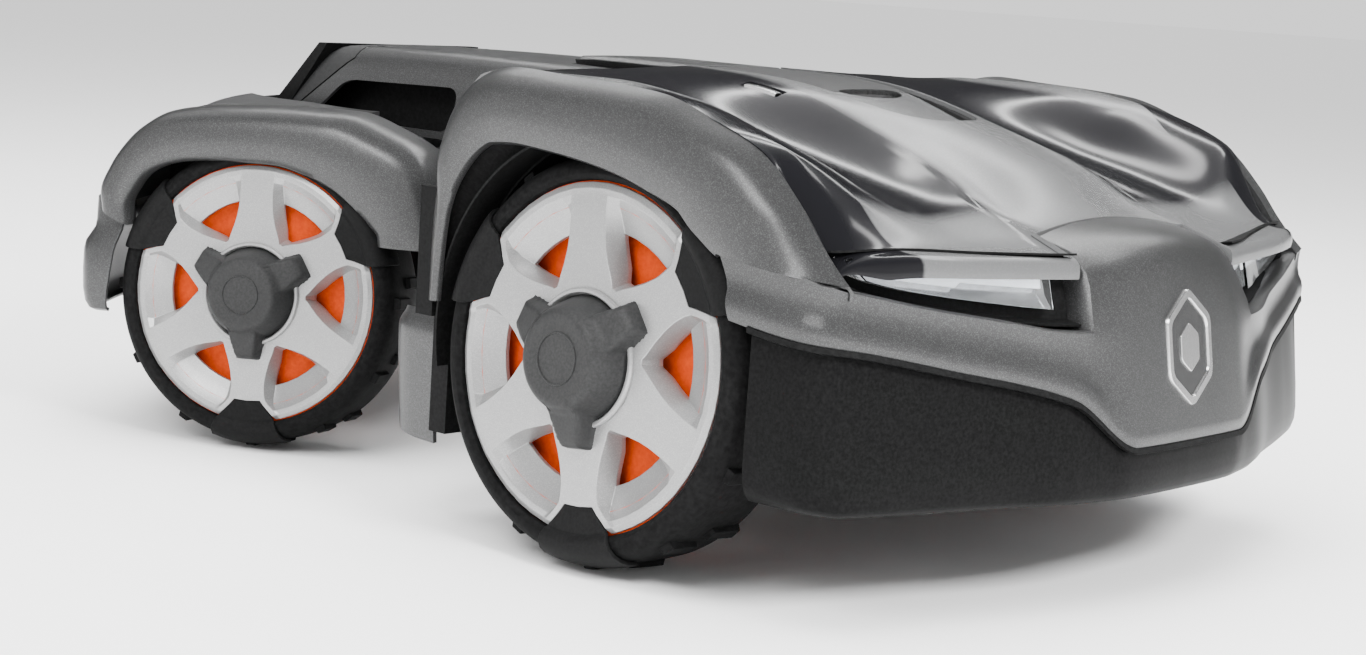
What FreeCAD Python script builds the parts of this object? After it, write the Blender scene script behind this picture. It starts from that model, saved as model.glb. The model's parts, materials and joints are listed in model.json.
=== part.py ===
"""Robotic lawn mower with an articulated body and a motor in each of its four wheels.

Every piece is drawn in the frame of the unit that carries it, and its Placement puts it in the machine:
- front unit: origin on the ground under the front axle, nose towards -Y, machine's left towards +X
- rear unit: origin on the ground under the steering pivot, which stands over the rear axle
- wheel: origin at the centre of the cap's outer plane, Z out of the wheel, Y to the pattern's top
The machine is stored with its rear unit steered, as it stands in a turn.
"""
import FreeCAD, Part
import math
import os

import Sketcher
from FreeCAD import Placement, Rotation, Vector

os.makedirs("parts", exist_ok=True)
doc = FreeCAD.newDocument("robot_mower")
dims = doc.addObject("Spreadsheet::Sheet", "dims")

SIZES = {
    # the machine
    "origin_back": -229.1,
    "origin_right": 0.0,
    "wheelbase": 481.5,
    "steer_angle": 26.67,
    "camber": 4.0,
    "front_track_half": 264.6,
    "rear_track_half": 239.5,
    "front_hub_height": 126.7,
    "rear_hub_height": 110.5,
    "front_wheel_spin": 5.74,
    "rear_wheel_spin": 1.36,
    # one wheel, at the front wheel's size
    "front_wheel_scale": 1.0,
    "rear_wheel_scale": 0.87,
    "cap_radius": 103.0,
    "cap_thick": 4.0,
    "notch_depth": 16.5,
    "notch_outer_half": 25.2,
    "notch_inner_half": 11.4,
    "window_inner": 49.0,
    "window_outer": 76.0,
    "window_half": 15.0,
    "knob_hole": 38.5,
    "bead_radius": 97.0,
    "tread_radius": 121.4,
    "lug_radius": 123.8,
    "lug_length": 9.0,
    "tyre_width": 64.0,
    "rim_wall": 7.0,
    "rim_disc_depth": 22.0,
    "rim_disc_thick": 5.0,
    "axle_radius": 8.0,
    "axle_clearance": 0.05,
    "knob_radius": 37.0,
    "knob_face_radius": 27.0,
    "knob_height": 23.0,
    "knob_lobe_reach": 53.0,
    "knob_lobe_half": 13.0,
    "motor_radius": 46.0,
    "motor_nose_radius": 38.0,
    "motor_length": 72.0,
    # front unit
    "body_half_width": 268.0,
    "nose_reach": 252.0,
    "skin": 3.0,
    "skirt_bottom": 64.0,
    "skirt_top": 158.0,
    "skirt_back": 127.5,
    "bumper_side_top": 200.0,
    "bumper_side_bottom": 164.0,
    "nose_step_half": 107.0,
    "nose_step_height": 126.0,
    "nose_tip_half": 60.0,
    "nose_tip_height": 96.0,
    "nose_top_half": 84.0,
    "nose_top_height": 216.0,
    "lamp_outer": 246.0,
    "lamp_inner": 92.0,
    "deck_bottom": 105.0,
    "deck_top": 150.0,
    "chassis_half": 118.0,
    "chassis_front": 200.0,
    "chassis_back": 150.0,
    "well_radius": 52.0,
    "deck_centre": 70.0,
    "arch_top": 290.0,
    "arch_bottom": 222.0,
    "arch_half": 78.0,
    "arch_wall": 6.0,
    "arch_core_half": 56.0,
    "arch_front": 140.0,
    "arch_foot": 540.0,
    "arch_slope_top": 468.0,
    # cutting unit, at the middle of its height range
    "disc_height": 50.0,
    "disc_radius": 94.0,
    "disc_thick": 4.0,
    "blade_pivot_radius": 80.0,
    "blade_reach": 30.0,
    "blade_width": 18.0,
    "blade_thick": 1.0,
    "blade_screw_radius": 2.5,
    "skid_radius": 66.0,
    "blade_motor_radius": 40.0,
    # rear unit
    "rear_skin_half": 243.0,
    "rear_lip_half": 190.0,
    "rear_tail": 172.0,
    "pivot_radius": 14.0,
    "pivot_clearance": 0.05,
    "bearing_radius": 18.0,
    "bearing_tall": 17.0,
    "roll_height": 165.0,
    "roll_radius": 12.0,
}
for row, (alias, value) in enumerate(SIZES.items(), start=1):
    dims.set(f"A{row}", alias.replace("_", " "))
    dims.set(f"B{row}", str(value))
    dims.setAlias(f"B{row}", alias)
doc.recompute()

kept = []


def size(alias):
    """A driving dimension, read from the spreadsheet."""
    return float(dims.get(alias))


# ---------------------------------------------------------------- builders


def bind(item, **expressions):
    """Ties an object's properties to the spreadsheet. A double underscore stands for a dot."""
    for name, expression in expressions.items():
        item.setExpression(name.replace("__", "."), str(expression))
    return item


def block(name, across, along, up):
    """A box between two bounds on each axis. Each bound is a number or an expression."""
    item = doc.addObject("Part::Box", name)
    spans = {"Length": across, "Width": along, "Height": up}
    for side, (low, high) in spans.items():
        item.setExpression(side, f"({high}) - ({low})")
    bind(item, Placement__Base__x=across[0], Placement__Base__y=along[0], Placement__Base__z=up[0])
    return item


def rod(name, radius, foot, length, turn=None):
    """A cylinder standing on the point foot; turn lays it down."""
    item = doc.addObject("Part::Cylinder", name)
    item.Placement = Placement(Vector(), turn or Rotation())
    bind(item, Radius=radius, Height=length)
    bind(item, Placement__Base__x=foot[0], Placement__Base__y=foot[1], Placement__Base__z=foot[2])
    return item


def cut(name, base, *tools):
    """The base with every tool taken out of it."""
    tool = tools[0] if len(tools) == 1 else fuse(name + "_tools", *tools)
    item = doc.addObject("Part::Cut", name)
    item.Base = base
    item.Tool = tool
    return item


def fuse(name, *pieces):
    """The pieces joined into one solid."""
    item = doc.addObject("Part::MultiFuse", name)
    item.Shapes = list(pieces)
    item.Refine = True
    return item


def shaped(name, shape):
    """A piece whose outline is a free curve, drawn with Part's own functions."""
    item = doc.addObject("Part::Feature", name)
    item.Shape = shape
    return item


def origin_plane(body, role):
    """One of a body's own origin planes or axes, found by its role."""
    return next(f for f in body.Origin.OriginFeatures if f.Role == role)


def outline_sketch(body, name, role, corners, offset=None):
    """A closed polygon sketch. Each corner is a pair of numbers or expressions."""
    sketch = body.newObject("Sketcher::SketchObject", name)
    sketch.AttachmentSupport = [(origin_plane(body, role), "")]
    sketch.MapMode = "FlatFace"
    if offset is not None:
        sketch.AttachmentOffset = offset
    count = len(corners)
    step = 2 * math.pi / count
    ring = [Vector(math.cos(step * k), math.sin(step * k), 0) for k in range(count)]
    for k in range(count):
        sketch.addGeometry(Part.LineSegment(ring[k], ring[(k + 1) % count]), False)
    for k in range(count):
        sketch.addConstraint(Sketcher.Constraint("Coincident", k, 2, (k + 1) % count, 1))
    for k, corner in enumerate(corners):
        for way, place in zip(("DistanceX", "DistanceY"), corner):
            index = sketch.addConstraint(Sketcher.Constraint(way, -1, 1, k, 1, 1.0))
            sketch.setExpression(f"Constraints[{index}]", str(place))
    return sketch


def turned(name, profile):
    """A body of revolution about Z. The profile's corners are (radius, height)."""
    body = doc.addObject("PartDesign::Body", name)
    sketch = outline_sketch(body, name + "_profile", "XZ_Plane", profile)
    spin = body.newObject("PartDesign::Revolution", name + "_turn")
    spin.Profile = sketch
    spin.ReferenceAxis = (sketch, ["V_Axis"])
    spin.Angle = 360
    doc.recompute()
    return body


def raised(body, name, role, corners, length, offset=None, both_ways=False):
    """A pad on a polygon."""
    sketch = outline_sketch(body, name + "_outline", role, corners, offset)
    pad = body.newObject("PartDesign::Pad", name)
    pad.Profile = sketch
    pad.Midplane = both_ways
    pad.setExpression("Length", str(length))
    doc.recompute()
    return pad


def sunk(body, name, role, corners, offset=None):
    """A pocket through everything, both ways, and a check that it takes something away."""
    before = body.Shape.Volume
    sketch = outline_sketch(body, name + "_outline", role, corners, offset)
    pocket = body.newObject("PartDesign::Pocket", name)
    pocket.Profile = sketch
    pocket.Type = "ThroughAll"
    pocket.Midplane = True
    doc.recompute()
    if body.Shape.Volume >= before - 1.0:
        raise ValueError(f"{name} cuts nothing")
    return pocket


def ring_of(body, name, features, count):
    """Repeats features round Z."""
    pattern = body.newObject("PartDesign::PolarPattern", name)
    pattern.Originals = features
    pattern.Axis = (origin_plane(body, "Z_Axis"), [""])
    pattern.Angle = 360
    pattern.Occurrences = count
    body.Tip = pattern
    doc.recompute()
    return pattern


def keep(item, label, frame):
    """Names a finished sub-part and puts it in the machine."""
    item.Label = label
    item.Placement = frame
    kept.append(item)
    return item


def smooth(points, at):
    """A line through the points with no overshoot: a cubic between each two, flat at a peak."""
    points = sorted(points)
    if at <= points[0][0]:
        return points[0][1]
    if at >= points[-1][0]:
        return points[-1][1]
    rise = [(b[1] - a[1]) / (b[0] - a[0]) for a, b in zip(points, points[1:])]
    slope = [rise[0]]
    for before, after in zip(rise, rise[1:]):
        slope.append(2 * before * after / (before + after) if before * after > 0 else 0.0)
    slope.append(rise[-1])
    k = next(k for k in range(len(rise)) if at <= points[k + 1][0])
    (x0, y0), (x1, y1) = points[k], points[k + 1]
    gap = x1 - x0
    t = (at - x0) / gap
    return (
        y0 * (1 + 2 * t) * (1 - t) ** 2
        + slope[k] * gap * t * (1 - t) ** 2
        + y1 * t * t * (3 - 2 * t)
        - slope[k + 1] * gap * t * t * (1 - t)
    )


def ease(start, end, at):
    """0 before start, 1 after end, smooth between."""
    t = min(1.0, max(0.0, (at - start) / (end - start)))
    return t * t * (3 - 2 * t)


def prism(points, direction):
    """A closed polygon pushed along a direction."""
    wire = Part.makePolygon(points + [points[0]])
    return Part.Face(wire).extrude(direction)


def mirrored(points):
    """An outline given for x above zero, closed with its mirror image."""
    return points + [Vector(-p.x, p.y, p.z) for p in reversed(points)]


# ---------------------------------------------------------------- frames

FRONT = Placement(Vector(size("origin_right"), size("origin_back"), 0), Rotation())
REAR = Placement(
    FRONT.Base + Vector(0, size("wheelbase"), 0),
    Rotation(Vector(0, 0, 1), size("steer_angle")),
)


def wheel_frame(unit, side, track, height, spin):
    """A wheel's place: side is -1 on the machine's right. The cambered wheel leans in at its top."""
    camber = math.radians(size("camber"))
    out = Vector(side * math.cos(camber), 0, math.sin(camber))
    top = Vector(-side * math.sin(camber), 0, math.cos(camber))
    hub = Placement(Vector(side * track, 0, height), Rotation(top.cross(out), top, out, "ZXY"))
    return unit.multiply(hub).multiply(Placement(Vector(), Rotation(Vector(0, 0, 1), spin)))


SIDES = {"right": -1, "left": 1}
WHEELS = {}
for side_name, side in SIDES.items():
    WHEELS["front_" + side_name] = wheel_frame(
        FRONT, side, size("front_track_half"), size("front_hub_height"), size("front_wheel_spin")
    )
    WHEELS["rear_" + side_name] = wheel_frame(
        REAR, side, size("rear_track_half"), size("rear_hub_height"), size("rear_wheel_spin")
    )


# ---------------------------------------------------------------- wheels


def tyre(name, s):
    """A hollow rubber tyre with rounded shoulders and two staggered rows of lugs."""
    profile = [
        (f"dims.bead_radius * {s}", f"-8.4 * {s}"),
        (f"104.2 * {s}", f"-8.4 * {s}"),
        (f"104.2 * {s}", f"-1.5 * {s}"),
        (f"111 * {s}", f"-2 * {s}"),
        (f"117.5 * {s}", f"-7 * {s}"),
        (f"dims.tread_radius * {s}", f"-18 * {s}"),
        (f"dims.tread_radius * {s}", f"-(dims.tyre_width - 14) * {s}"),
        (f"117 * {s}", f"-(dims.tyre_width - 4) * {s}"),
        (f"110 * {s}", f"-dims.tyre_width * {s}"),
        (f"dims.bead_radius * {s}", f"-dims.tyre_width * {s}"),
    ]
    body = turned(name, profile)
    middle = f"(dims.tyre_width / 2) * {s}"
    lugs = []
    for row, (near, far) in enumerate((("-20", "0"), ("0", "20"))):
        corners = [
            (f"118 * {s}", f"-({middle}) + {near} * {s}"),
            (f"dims.lug_radius * {s}", f"-({middle}) + ({near} + 3) * {s}"),
            (f"dims.lug_radius * {s}", f"-({middle}) + ({far} - 3) * {s}"),
            (f"118 * {s}", f"-({middle}) + {far} * {s}"),
        ]
        turn = Placement(Vector(), Rotation(Vector(0, 1, 0), 15.0 * row))
        lugs.append(
            raised(body, f"{name}_lug_{row}", "XZ_Plane", corners, f"dims.lug_length * {s}", turn, True)
        )
    ring_of(body, name + "_lugs", lugs, 12)
    return body


def rim(name, s):
    """A barrel that carries the tyre, with the disc and the hub that the motor's axle turns."""
    inner = f"(dims.bead_radius - dims.rim_wall) * {s}"
    disc = f"dims.rim_disc_depth * {s}"
    bore = "dims.axle_radius + dims.axle_clearance"
    return turned(
        name,
        [
            (bore, f"-{disc} + 10 * {s}"),
            (f"22 * {s}", f"-{disc} + 10 * {s}"),
            (f"26 * {s}", f"-{disc}"),
            (inner, f"-{disc}"),
            (inner, f"-4.6 * {s}"),
            (f"103.9 * {s}", f"-4.6 * {s}"),
            (f"103.9 * {s}", f"-8 * {s}"),
            (f"(dims.bead_radius - 0.2) * {s}", f"-8 * {s}"),
            (f"(dims.bead_radius - 0.2) * {s}", f"-(dims.tyre_width - 2) * {s}"),
            (inner, f"-(dims.tyre_width - 2) * {s}"),
            (inner, f"-({disc} + dims.rim_disc_thick * {s})"),
            (bore, f"-({disc} + dims.rim_disc_thick * {s})"),
        ],
    )


def wheel_cap(name, s):
    """A pressed cap with three notches in its edge and six windows."""
    body = turned(
        name,
        [
            (f"dims.knob_hole * {s}", f"-dims.cap_thick * {s}"),
            (f"dims.cap_radius * {s}", f"-dims.cap_thick * {s}"),
            (f"dims.cap_radius * {s}", "0"),
            (f"dims.knob_hole * {s}", "0"),
        ],
    )
    deep = f"(dims.cap_radius - dims.notch_depth) * {s}"
    past = f"(dims.cap_radius + 3) * {s}"
    notch = sunk(
        body,
        name + "_notch",
        "XY_Plane",
        [
            (f"-dims.notch_inner_half * {s}", f"-({deep})"),
            (f"-(dims.notch_outer_half + 4) * {s}", f"-({past})"),
            (f"(dims.notch_outer_half + 4) * {s}", f"-({past})"),
            (f"dims.notch_inner_half * {s}", f"-({deep})"),
        ],
    )
    ring_of(body, name + "_notches", [notch], 3)
    window = sunk(
        body,
        name + "_window",
        "XY_Plane",
        [
            (f"-3 * {s}", f"dims.window_inner * {s}"),
            (f"-dims.window_half * {s}", f"(dims.window_outer - 4) * {s}"),
            (f"-6 * {s}", f"dims.window_outer * {s}"),
            (f"6 * {s}", f"dims.window_outer * {s}"),
            (f"dims.window_half * {s}", f"(dims.window_outer - 4) * {s}"),
            (f"3 * {s}", f"dims.window_inner * {s}"),
        ],
        Placement(Vector(), Rotation(Vector(0, 0, 1), 30)),
    )
    ring_of(body, name + "_windows", [window], 6)
    return body


def knob(name, s):
    """The cover over the wheel nut, with three lobes to grip."""
    body = turned(
        name,
        [
            ("0", f"-4 * {s}"),
            (f"dims.knob_radius * {s}", f"-4 * {s}"),
            (f"dims.knob_radius * {s}", f"5 * {s}"),
            (f"(dims.knob_radius - 4) * {s}", f"12 * {s}"),
            (f"dims.knob_face_radius * {s}", f"dims.knob_height * {s}"),
            ("0", f"dims.knob_height * {s}"),
        ],
    )
    lobe = raised(
        body,
        name + "_lobe",
        "YZ_Plane",
        [
            (f"-20 * {s}", f"0.4 * {s}"),
            (f"-dims.knob_lobe_reach * {s}", f"0.4 * {s}"),
            (f"-dims.knob_lobe_reach * {s}", f"6 * {s}"),
            (f"-(dims.knob_lobe_reach - 8) * {s}", f"14 * {s}"),
            (f"-20 * {s}", f"18 * {s}"),
        ],
        f"2 * dims.knob_lobe_half * {s}",
        both_ways=True,
    )
    ring_of(body, name + "_lobes", [lobe], 3)
    return body


def wheel_motor(name, s):
    """A hub motor with its gearbox nose inside the rim and its axle through the rim's hub."""
    inner = f"(dims.tyre_width + dims.motor_length) * {s}"
    return turned(
        name,
        [
            ("0", f"-({inner})"),
            (f"dims.motor_radius * {s}", f"-({inner})"),
            (f"dims.motor_radius * {s}", f"-(dims.tyre_width + 6) * {s}"),
            (f"dims.motor_nose_radius * {s}", f"-(dims.tyre_width + 6) * {s}"),
            (f"dims.motor_nose_radius * {s}", f"-36 * {s}"),
            ("dims.axle_radius", f"-36 * {s}"),
            ("dims.axle_radius", f"-8 * {s}"),
            ("0", f"-8 * {s}"),
        ],
    )


for corner, frame in WHEELS.items():
    scale = "dims.front_wheel_scale" if corner.startswith("front") else "dims.rear_wheel_scale"
    keep(tyre(f"{corner}_tyre_body", scale), f"tyre_{corner}", frame)
    keep(rim(f"{corner}_rim_body", scale), f"rim_{corner}", frame)
    keep(wheel_cap(f"{corner}_cap_body", scale), f"wheel_cap_{corner}", frame)
    keep(knob(f"{corner}_knob_body", scale), f"hub_knob_{corner}", frame)
    keep(wheel_motor(f"{corner}_motor_body", scale), f"wheel_motor_{corner}", frame)


# ---------------------------------------------------------------- outlines of the front unit

SPINE_TOP = ((-205, 221), (-145, 252), (-100, 267), (-60, 277), (0, 286), (60, 290), (130, 291))
CREST_TOP = (
    (-182, 204),
    (-159, 224),
    (-135, 247),
    (-104, 267),
    (-60, 283),
    (-20, 290),
    (90, 288),
    (135, 284),
)
VALLEY = ((-205, 218), (-170, 222), (-120, 232), (-60, 246), (0, 261), (60, 275), (120, 285))
SEAM = (
    (-168, 201),
    (-142, 232),
    (-111, 259),
    (-65, 275),
    (-30, 282),
    (40, 284),
    (90, 288),
    (112, 284),
    (127, 262),
)
WHEEL_ARCH = ((-90, 202), (-65, 222), (-18, 239), (32, 246), (83, 248), (104, 238), (120, 218))
REAR_SEAM = ((-139, 168), (-132, 195), (-118, 215), (-90, 230), (-50, 239), (0, 241), (50, 239))
REAR_TAIL = ((74, 234), (99, 218), (118, 190), (127, 160), (130, 136))
REAR_ARCH = ((104, 136), (100, 162), (80, 189), (50, 202), (-10, 206), (-60, 194), (-90, 168))
FRONT_LINE = (
    (268, -100),
    (268, -125),
    (268, -150),
    (262, -173),
    (240, -193),
    (200, -208),
    (150, -224),
    (107, -239),
    (60, -250),
    (0, -252),
)
CHEEK = 150.0
SPINE_HALF = 58.0
CREST_HALF = 228.0
HOOD_HALF = 250.0


def hood_height(x, y):
    """The height of the hood's outside: a spine down the middle, a valley and a crest on each side."""
    x = abs(x)
    spine = smooth(SPINE_TOP, y)
    valley = min(spine, smooth(VALLEY, y))
    crest = smooth(CREST_TOP, y)
    if x < 140:
        return spine + (valley - spine) * ease(SPINE_HALF, 128, x) - 1.5 * (x / 140) ** 2
    up = valley - 1.5 + (crest - valley + 1.5) * ease(140, CREST_HALF - 6, x)
    return up - 5.0 * ease(CREST_HALF - 4, HOOD_HALF + 6, x)


def cover_form(inset):
    """The front unit's lower outside, drawn in by inset: one plan outline carried up the nose's lean."""
    wires = []
    for height, narrower, shorter in ((55, 12, 12), (96, 4, 0), (160, 0, 10), (232, 5, 23)):
        across = (size("body_half_width") - narrower - inset) / FRONT_LINE[0][0]
        along = (size("nose_reach") - shorter - inset - CHEEK) / (-FRONT_LINE[-1][1] - CHEEK)
        front = [(x * across, y if y > -CHEEK else -CHEEK + (y + CHEEK) * along) for x, y in FRONT_LINE]
        half = [Vector(x, y, height) for x, y in front[:-1]]
        nose = Vector(0, front[-1][1], height)
        curve = Part.BSplineCurve()
        curve.interpolate(half + [nose] + [Vector(-p.x, p.y, p.z) for p in reversed(half)])
        wires.append(Part.Wire([curve.toShape(), Part.makeLine(Vector(-half[0].x, -100, height), half[0])]))
    return Part.makeLoft(wires, True, True)


def cover_band(outer, inner, front_view):
    """A wall between two insets of the cover, trimmed to an outline seen from the front."""
    band = cover_form(outer).cut(cover_form(inner))
    trim = prism([Vector(x, 0, z) for x, z in front_view], Vector(0, -300, 0))
    return band.common(trim)


def both_halves(half_view):
    """A front view given for x above zero, with its mirror image."""
    return list(half_view) + [(-x, z) for x, z in reversed(half_view) if x > 0]


def side_wall(outline, inner, outer, skin, side):
    """A shell seen from the side: a wall at outer and a lip on top that reaches in to inner."""
    whole = prism([Vector(side * inner, y, z) for y, z in outline], Vector(side * (outer - inner), 0, 0))
    hollow = prism(
        [Vector(side * (inner - 1), y, z - skin) for y, z in outline],
        Vector(side * (outer - inner - skin + 1), 0, 0),
    )
    return whole.cut(hollow)


def height_sheet(height, across, along, thick):
    """A shell under the surface z = height(x, y), over a rectangle, with thick below it."""
    count = 24
    stations = [along[0] + (along[1] - along[0]) * k / count for k in range(count + 1)]
    rows = []
    for k in range(count + 1):
        x = across[0] + (across[1] - across[0]) * k / count
        rows.append([Vector(x, y, height(x, y)) for y in stations])
    surface = Part.BSplineSurface()
    surface.interpolate(rows)
    return surface.toShape().extrude(Vector(0, 0, -thick))


# ---------------------------------------------------------------- front unit: frame

SIDEWAYS = Rotation(Vector(0, 1, 0), 90)

deck = fuse(
    "chassis_solid",
    block(
        "chassis_deck",
        ("-dims.chassis_half", "dims.chassis_half"),
        ("-dims.chassis_front", "dims.chassis_back"),
        ("dims.deck_bottom", "dims.deck_top"),
    ),
    block("chassis_foot", ("-dims.chassis_half", "dims.chassis_half"), (56, "dims.chassis_back"), (66, 106)),
    block("chassis_front_wing", (-222, 222), (-188, -150), (112, "dims.deck_top")),
    block("chassis_rear_wing", (-262, 262), (135, "dims.chassis_back"), (132, 212)),
    block("chassis_low_wing", (-246, 246), (135, "dims.chassis_back"), (56, 140)),
    block("chassis_riser", (-30, 30), (60, 138), (149, 250)),
    block("chassis_tower", (-54, 54), (104, "dims.chassis_back"), (149, "dims.arch_bottom")),
)
deck_mid = ("0", "-dims.deck_centre")
screw_places = [(x, y) for x in (-98, 98) for y in (72, 124)]
screw_holes = [
    rod(f"screw_hole_{k}", 2.02, (x, y, 60), 20) for k, (x, y) in enumerate(screw_places)
]
well = rod("motor_well", "dims.well_radius", (*deck_mid, 60), 120)
keep(cut("chassis", deck, well, *screw_holes), "front_chassis", FRONT)

plate = block("plate_solid", (-114, 114), (60, 134.6), (62, 66))
keep(cut("plate", plate, *screw_holes), "underside_plate", FRONT)

screws = []
for k, (x, y) in enumerate(screw_places):
    head = rod(f"screw_head_{k}", 4.5, (x, y, 59.5), 2.5)
    shank = rod(f"screw_shank_{k}", 2, (x, y, 61), 17)
    screws.append(fuse(f"screw_{k}", head, shank))
doc.recompute()
keep(shaped("screws", Part.makeCompound([s.Shape for s in screws])), "cover_screws", FRONT)

# ---------------------------------------------------------------- front unit: covers

skirt_view = both_halves([(0, size("skirt_bottom")), (280, size("skirt_bottom")), (280, size("skirt_top"))])
skirt_back = Part.makeBox(700, 60, 120, Vector(-350, -size("skirt_back"), 50))
skirt_wall = cover_band(size("skin"), size("skin") + 4, skirt_view).cut(skirt_back)
inside_skirt = cover_form(size("skin") + 3.9)
rib_start = -size("chassis_front") - 50
skirt_ribs = [Part.makeBox(6, 50, 40, Vector(x - 3, rib_start, 108)).common(inside_skirt) for x in (-74, 74)]
skirt_ears = [Part.makeBox(60, 28, 6, Vector(x - 30, -186, 106)).common(inside_skirt) for x in (-238, 238)]
keep(shaped("skirt_shell", skirt_wall.multiFuse(skirt_ribs + skirt_ears).removeSplitter()), "skirt", FRONT)

nose_view = both_halves(
    [
        (0, size("nose_tip_height")),
        (size("nose_tip_half"), size("nose_tip_height")),
        (size("nose_step_half"), size("nose_step_height")),
        (185, 144),
        (280, size("bumper_side_bottom")),
        (280, size("bumper_side_top")),
        (size("lamp_outer") + 2, size("bumper_side_top")),
        (size("lamp_outer") - 8, 186),
        (size("lamp_inner") + 14, 164),
        (size("lamp_inner"), 166),
        (size("nose_top_half"), 190),
        (size("nose_top_half"), size("nose_top_height")),
    ]
)
nose_wall = cover_band(0, size("skin"), nose_view)
lid_half = size("nose_top_half")
lid_box = Part.makeBox(2 * lid_half, 60, 4, Vector(-lid_half, -255, size("nose_top_height") - 4))
nose_lid = cover_form(0).common(lid_box)
keep(shaped("nose_shell", nose_wall.fuse(nose_lid).removeSplitter()), "nose_cover", FRONT)

lamp_view = [
    (size("lamp_inner") + 8, 169),
    (size("lamp_outer") - 14, 190),
    (size("lamp_outer") - 10, 199),
    (size("lamp_inner") + 8, 192),
]
for side_name, side in SIDES.items():
    view = [(side * x, z) for x, z in lamp_view]
    keep(shaped(f"lamp_{side_name}", cover_band(size("skin"), 16, view)), f"headlight_{side_name}", FRONT)

badge_lean = 9.3
badge = doc.addObject("Part::Prism", "badge_plate")
badge.Polygon = 6
badge.Circumradius = 36
badge.Height = 3.2
badge.Placement = Placement(
    Vector(0, -size("nose_reach") + 8.5, 151),
    Rotation(Vector(1, 0, 0), 90 - badge_lean).multiply(Rotation(Vector(0, 0, 1), 90)),
)
doc.recompute()
badge_on_nose = badge.Shape.cut(cover_form(-0.02))
keep(shaped("badge_part", badge_on_nose), "badge", FRONT)

hatch_front = -60.0
hatch_back = 119.0
hatch_half = 45.0
stop_front = 121.5
stop_back = 238.0
pin_y = 115.0
pin_z = 287.4
pin_radius = 1.2
knuckle_radius = 3.0

sheet = height_sheet(hood_height, (-HOOD_HALF, HOOD_HALF), (-222, 135), size("skin"))
hood_plan = mirrored(
    [
        Vector(0, 135, 190),
        Vector(240, 135, 190),
        Vector(HOOD_HALF, 100, 190),
        Vector(HOOD_HALF, -140, 190),
        Vector(240, -178, 190),
        Vector(200, -197, 190),
        Vector(size("nose_top_half") + 3, -219, 190),
        Vector(size("nose_top_half") + 3, -194.5, 190),
        Vector(0, -194.5, 190),
    ]
)
hatch_plan = mirrored(
    [
        Vector(0, hatch_back, 190),
        Vector(hatch_half, hatch_back, 190),
        Vector(hatch_half, 0, 190),
        Vector(hatch_half - 8, -35, 190),
        Vector(hatch_half - 24, hatch_front + 5, 190),
        Vector(0, hatch_front, 190),
    ]
)
up = Vector(0, 0, 150)
hatch_column = prism(hatch_plan, up)
hatch_gap = hatch_column.copy()
hatch_gap.scale(1.012, Vector(0, 30, 250))
stop_room = stop_back + 1.5 - hatch_back
stop_gap = Part.makeBox(2 * hatch_half + 1, stop_room, 40, Vector(-hatch_half - 0.5, hatch_back - 1, 276))
hood_solid = sheet.common(prism(hood_plan, up)).cut(hatch_gap).cut(stop_gap)
lug_shape = Part.makeBox(6, 9, 6, Vector(hatch_half + 1, pin_y - 4.5, 283.5))
lug_mirror = Part.makeBox(6, 9, 6, Vector(-hatch_half - 7, pin_y - 4.5, 283.5))
pin_length = 2 * hatch_half + 12
pin_shape = Part.makeCylinder(pin_radius, pin_length, Vector(-pin_length / 2, pin_y, pin_z), Vector(1, 0, 0))
contact_half = 4.0
contact_x = 76.0
contact_front = 22.0
contact_back = 96.0
contact_foot = hood_height(contact_x, contact_back) - 3
contacts = []
for side in SIDES.values():
    corner = Vector(side * contact_x - contact_half, contact_front, contact_foot)
    contacts.append(Part.makeBox(2 * contact_half, contact_back - contact_front, 5, corner))
under_hood = height_sheet(hood_height, (-HOOD_HALF, HOOD_HALF), (-222, 135), 300)
hood_posts = [
    Part.makeBox(14, 14, 150, Vector(x - 7, y - 7, size("deck_top"))).common(under_hood)
    for x in (-104, 104)
    for y in (-180, 122)
]
hood_solid = hood_solid.multiFuse([lug_shape, lug_mirror] + hood_posts).cut(pin_shape)
for contact in contacts:
    hood_solid = hood_solid.cut(contact)
keep(shaped("hood_shell", hood_solid), "hood", FRONT)
keep(shaped("contact_strips", Part.makeCompound(contacts)), "charging_contacts", FRONT)

fender_outline = (
    list(SEAM)
    + [(130, 214), (134, 200), (135, 146), (129, 146), (127, 205)]
    + list(reversed(WHEEL_ARCH))
    + [(-92, 200.5), (-168, 200.5)]
)
for side_name, side in SIDES.items():
    wall = side_wall(fender_outline, HOOD_HALF, size("body_half_width"), 3.5, side)
    keep(shaped(f"fender_{side_name}_shell", wall), f"fender_front_{side_name}", FRONT)

guards = []
for side_name, side in SIDES.items():
    ring = cut(
        f"guard_ring_{side_name}",
        rod(f"guard_outer_{side_name}", 50, (side * 196, 150, 48), 84),
        rod(f"guard_inner_{side_name}", 45, (side * 196, 150, 40), 100),
    )
    across = (196, 250) if side > 0 else (-250, -196)
    corner = doc.addObject("Part::Common", f"guard_{side_name}")
    corner.Base = ring
    corner.Tool = block(f"guard_corner_{side_name}", across, (150, 210), (40, 140))
    guards.append(corner)
doc.recompute()
keep(shaped("guards", Part.makeCompound([g.Shape for g in guards])), "wheel_guards", FRONT)

# ---------------------------------------------------------------- front unit: arch over the rear unit

ARCH_SLOPE = ((size("arch_slope_top"), 282), (519, size("arch_bottom")))


def arch_profile(inset):
    """The arch seen from the side, drawn in by inset."""
    top = size("arch_top") - inset
    return [
        (size("arch_front"), size("arch_bottom")),
        (size("arch_front"), top),
        (438 - inset / 2, top),
        (ARCH_SLOPE[0][0] - inset, ARCH_SLOPE[0][1] - inset),
        (ARCH_SLOPE[1][0] - 1.4 * inset, ARCH_SLOPE[1][1]),
    ]


def arch_solid(profile, half):
    """A side profile carried across the machine."""
    return prism([Vector(-half, y, z) for y, z in profile], Vector(2 * half, 0, 0))


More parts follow.
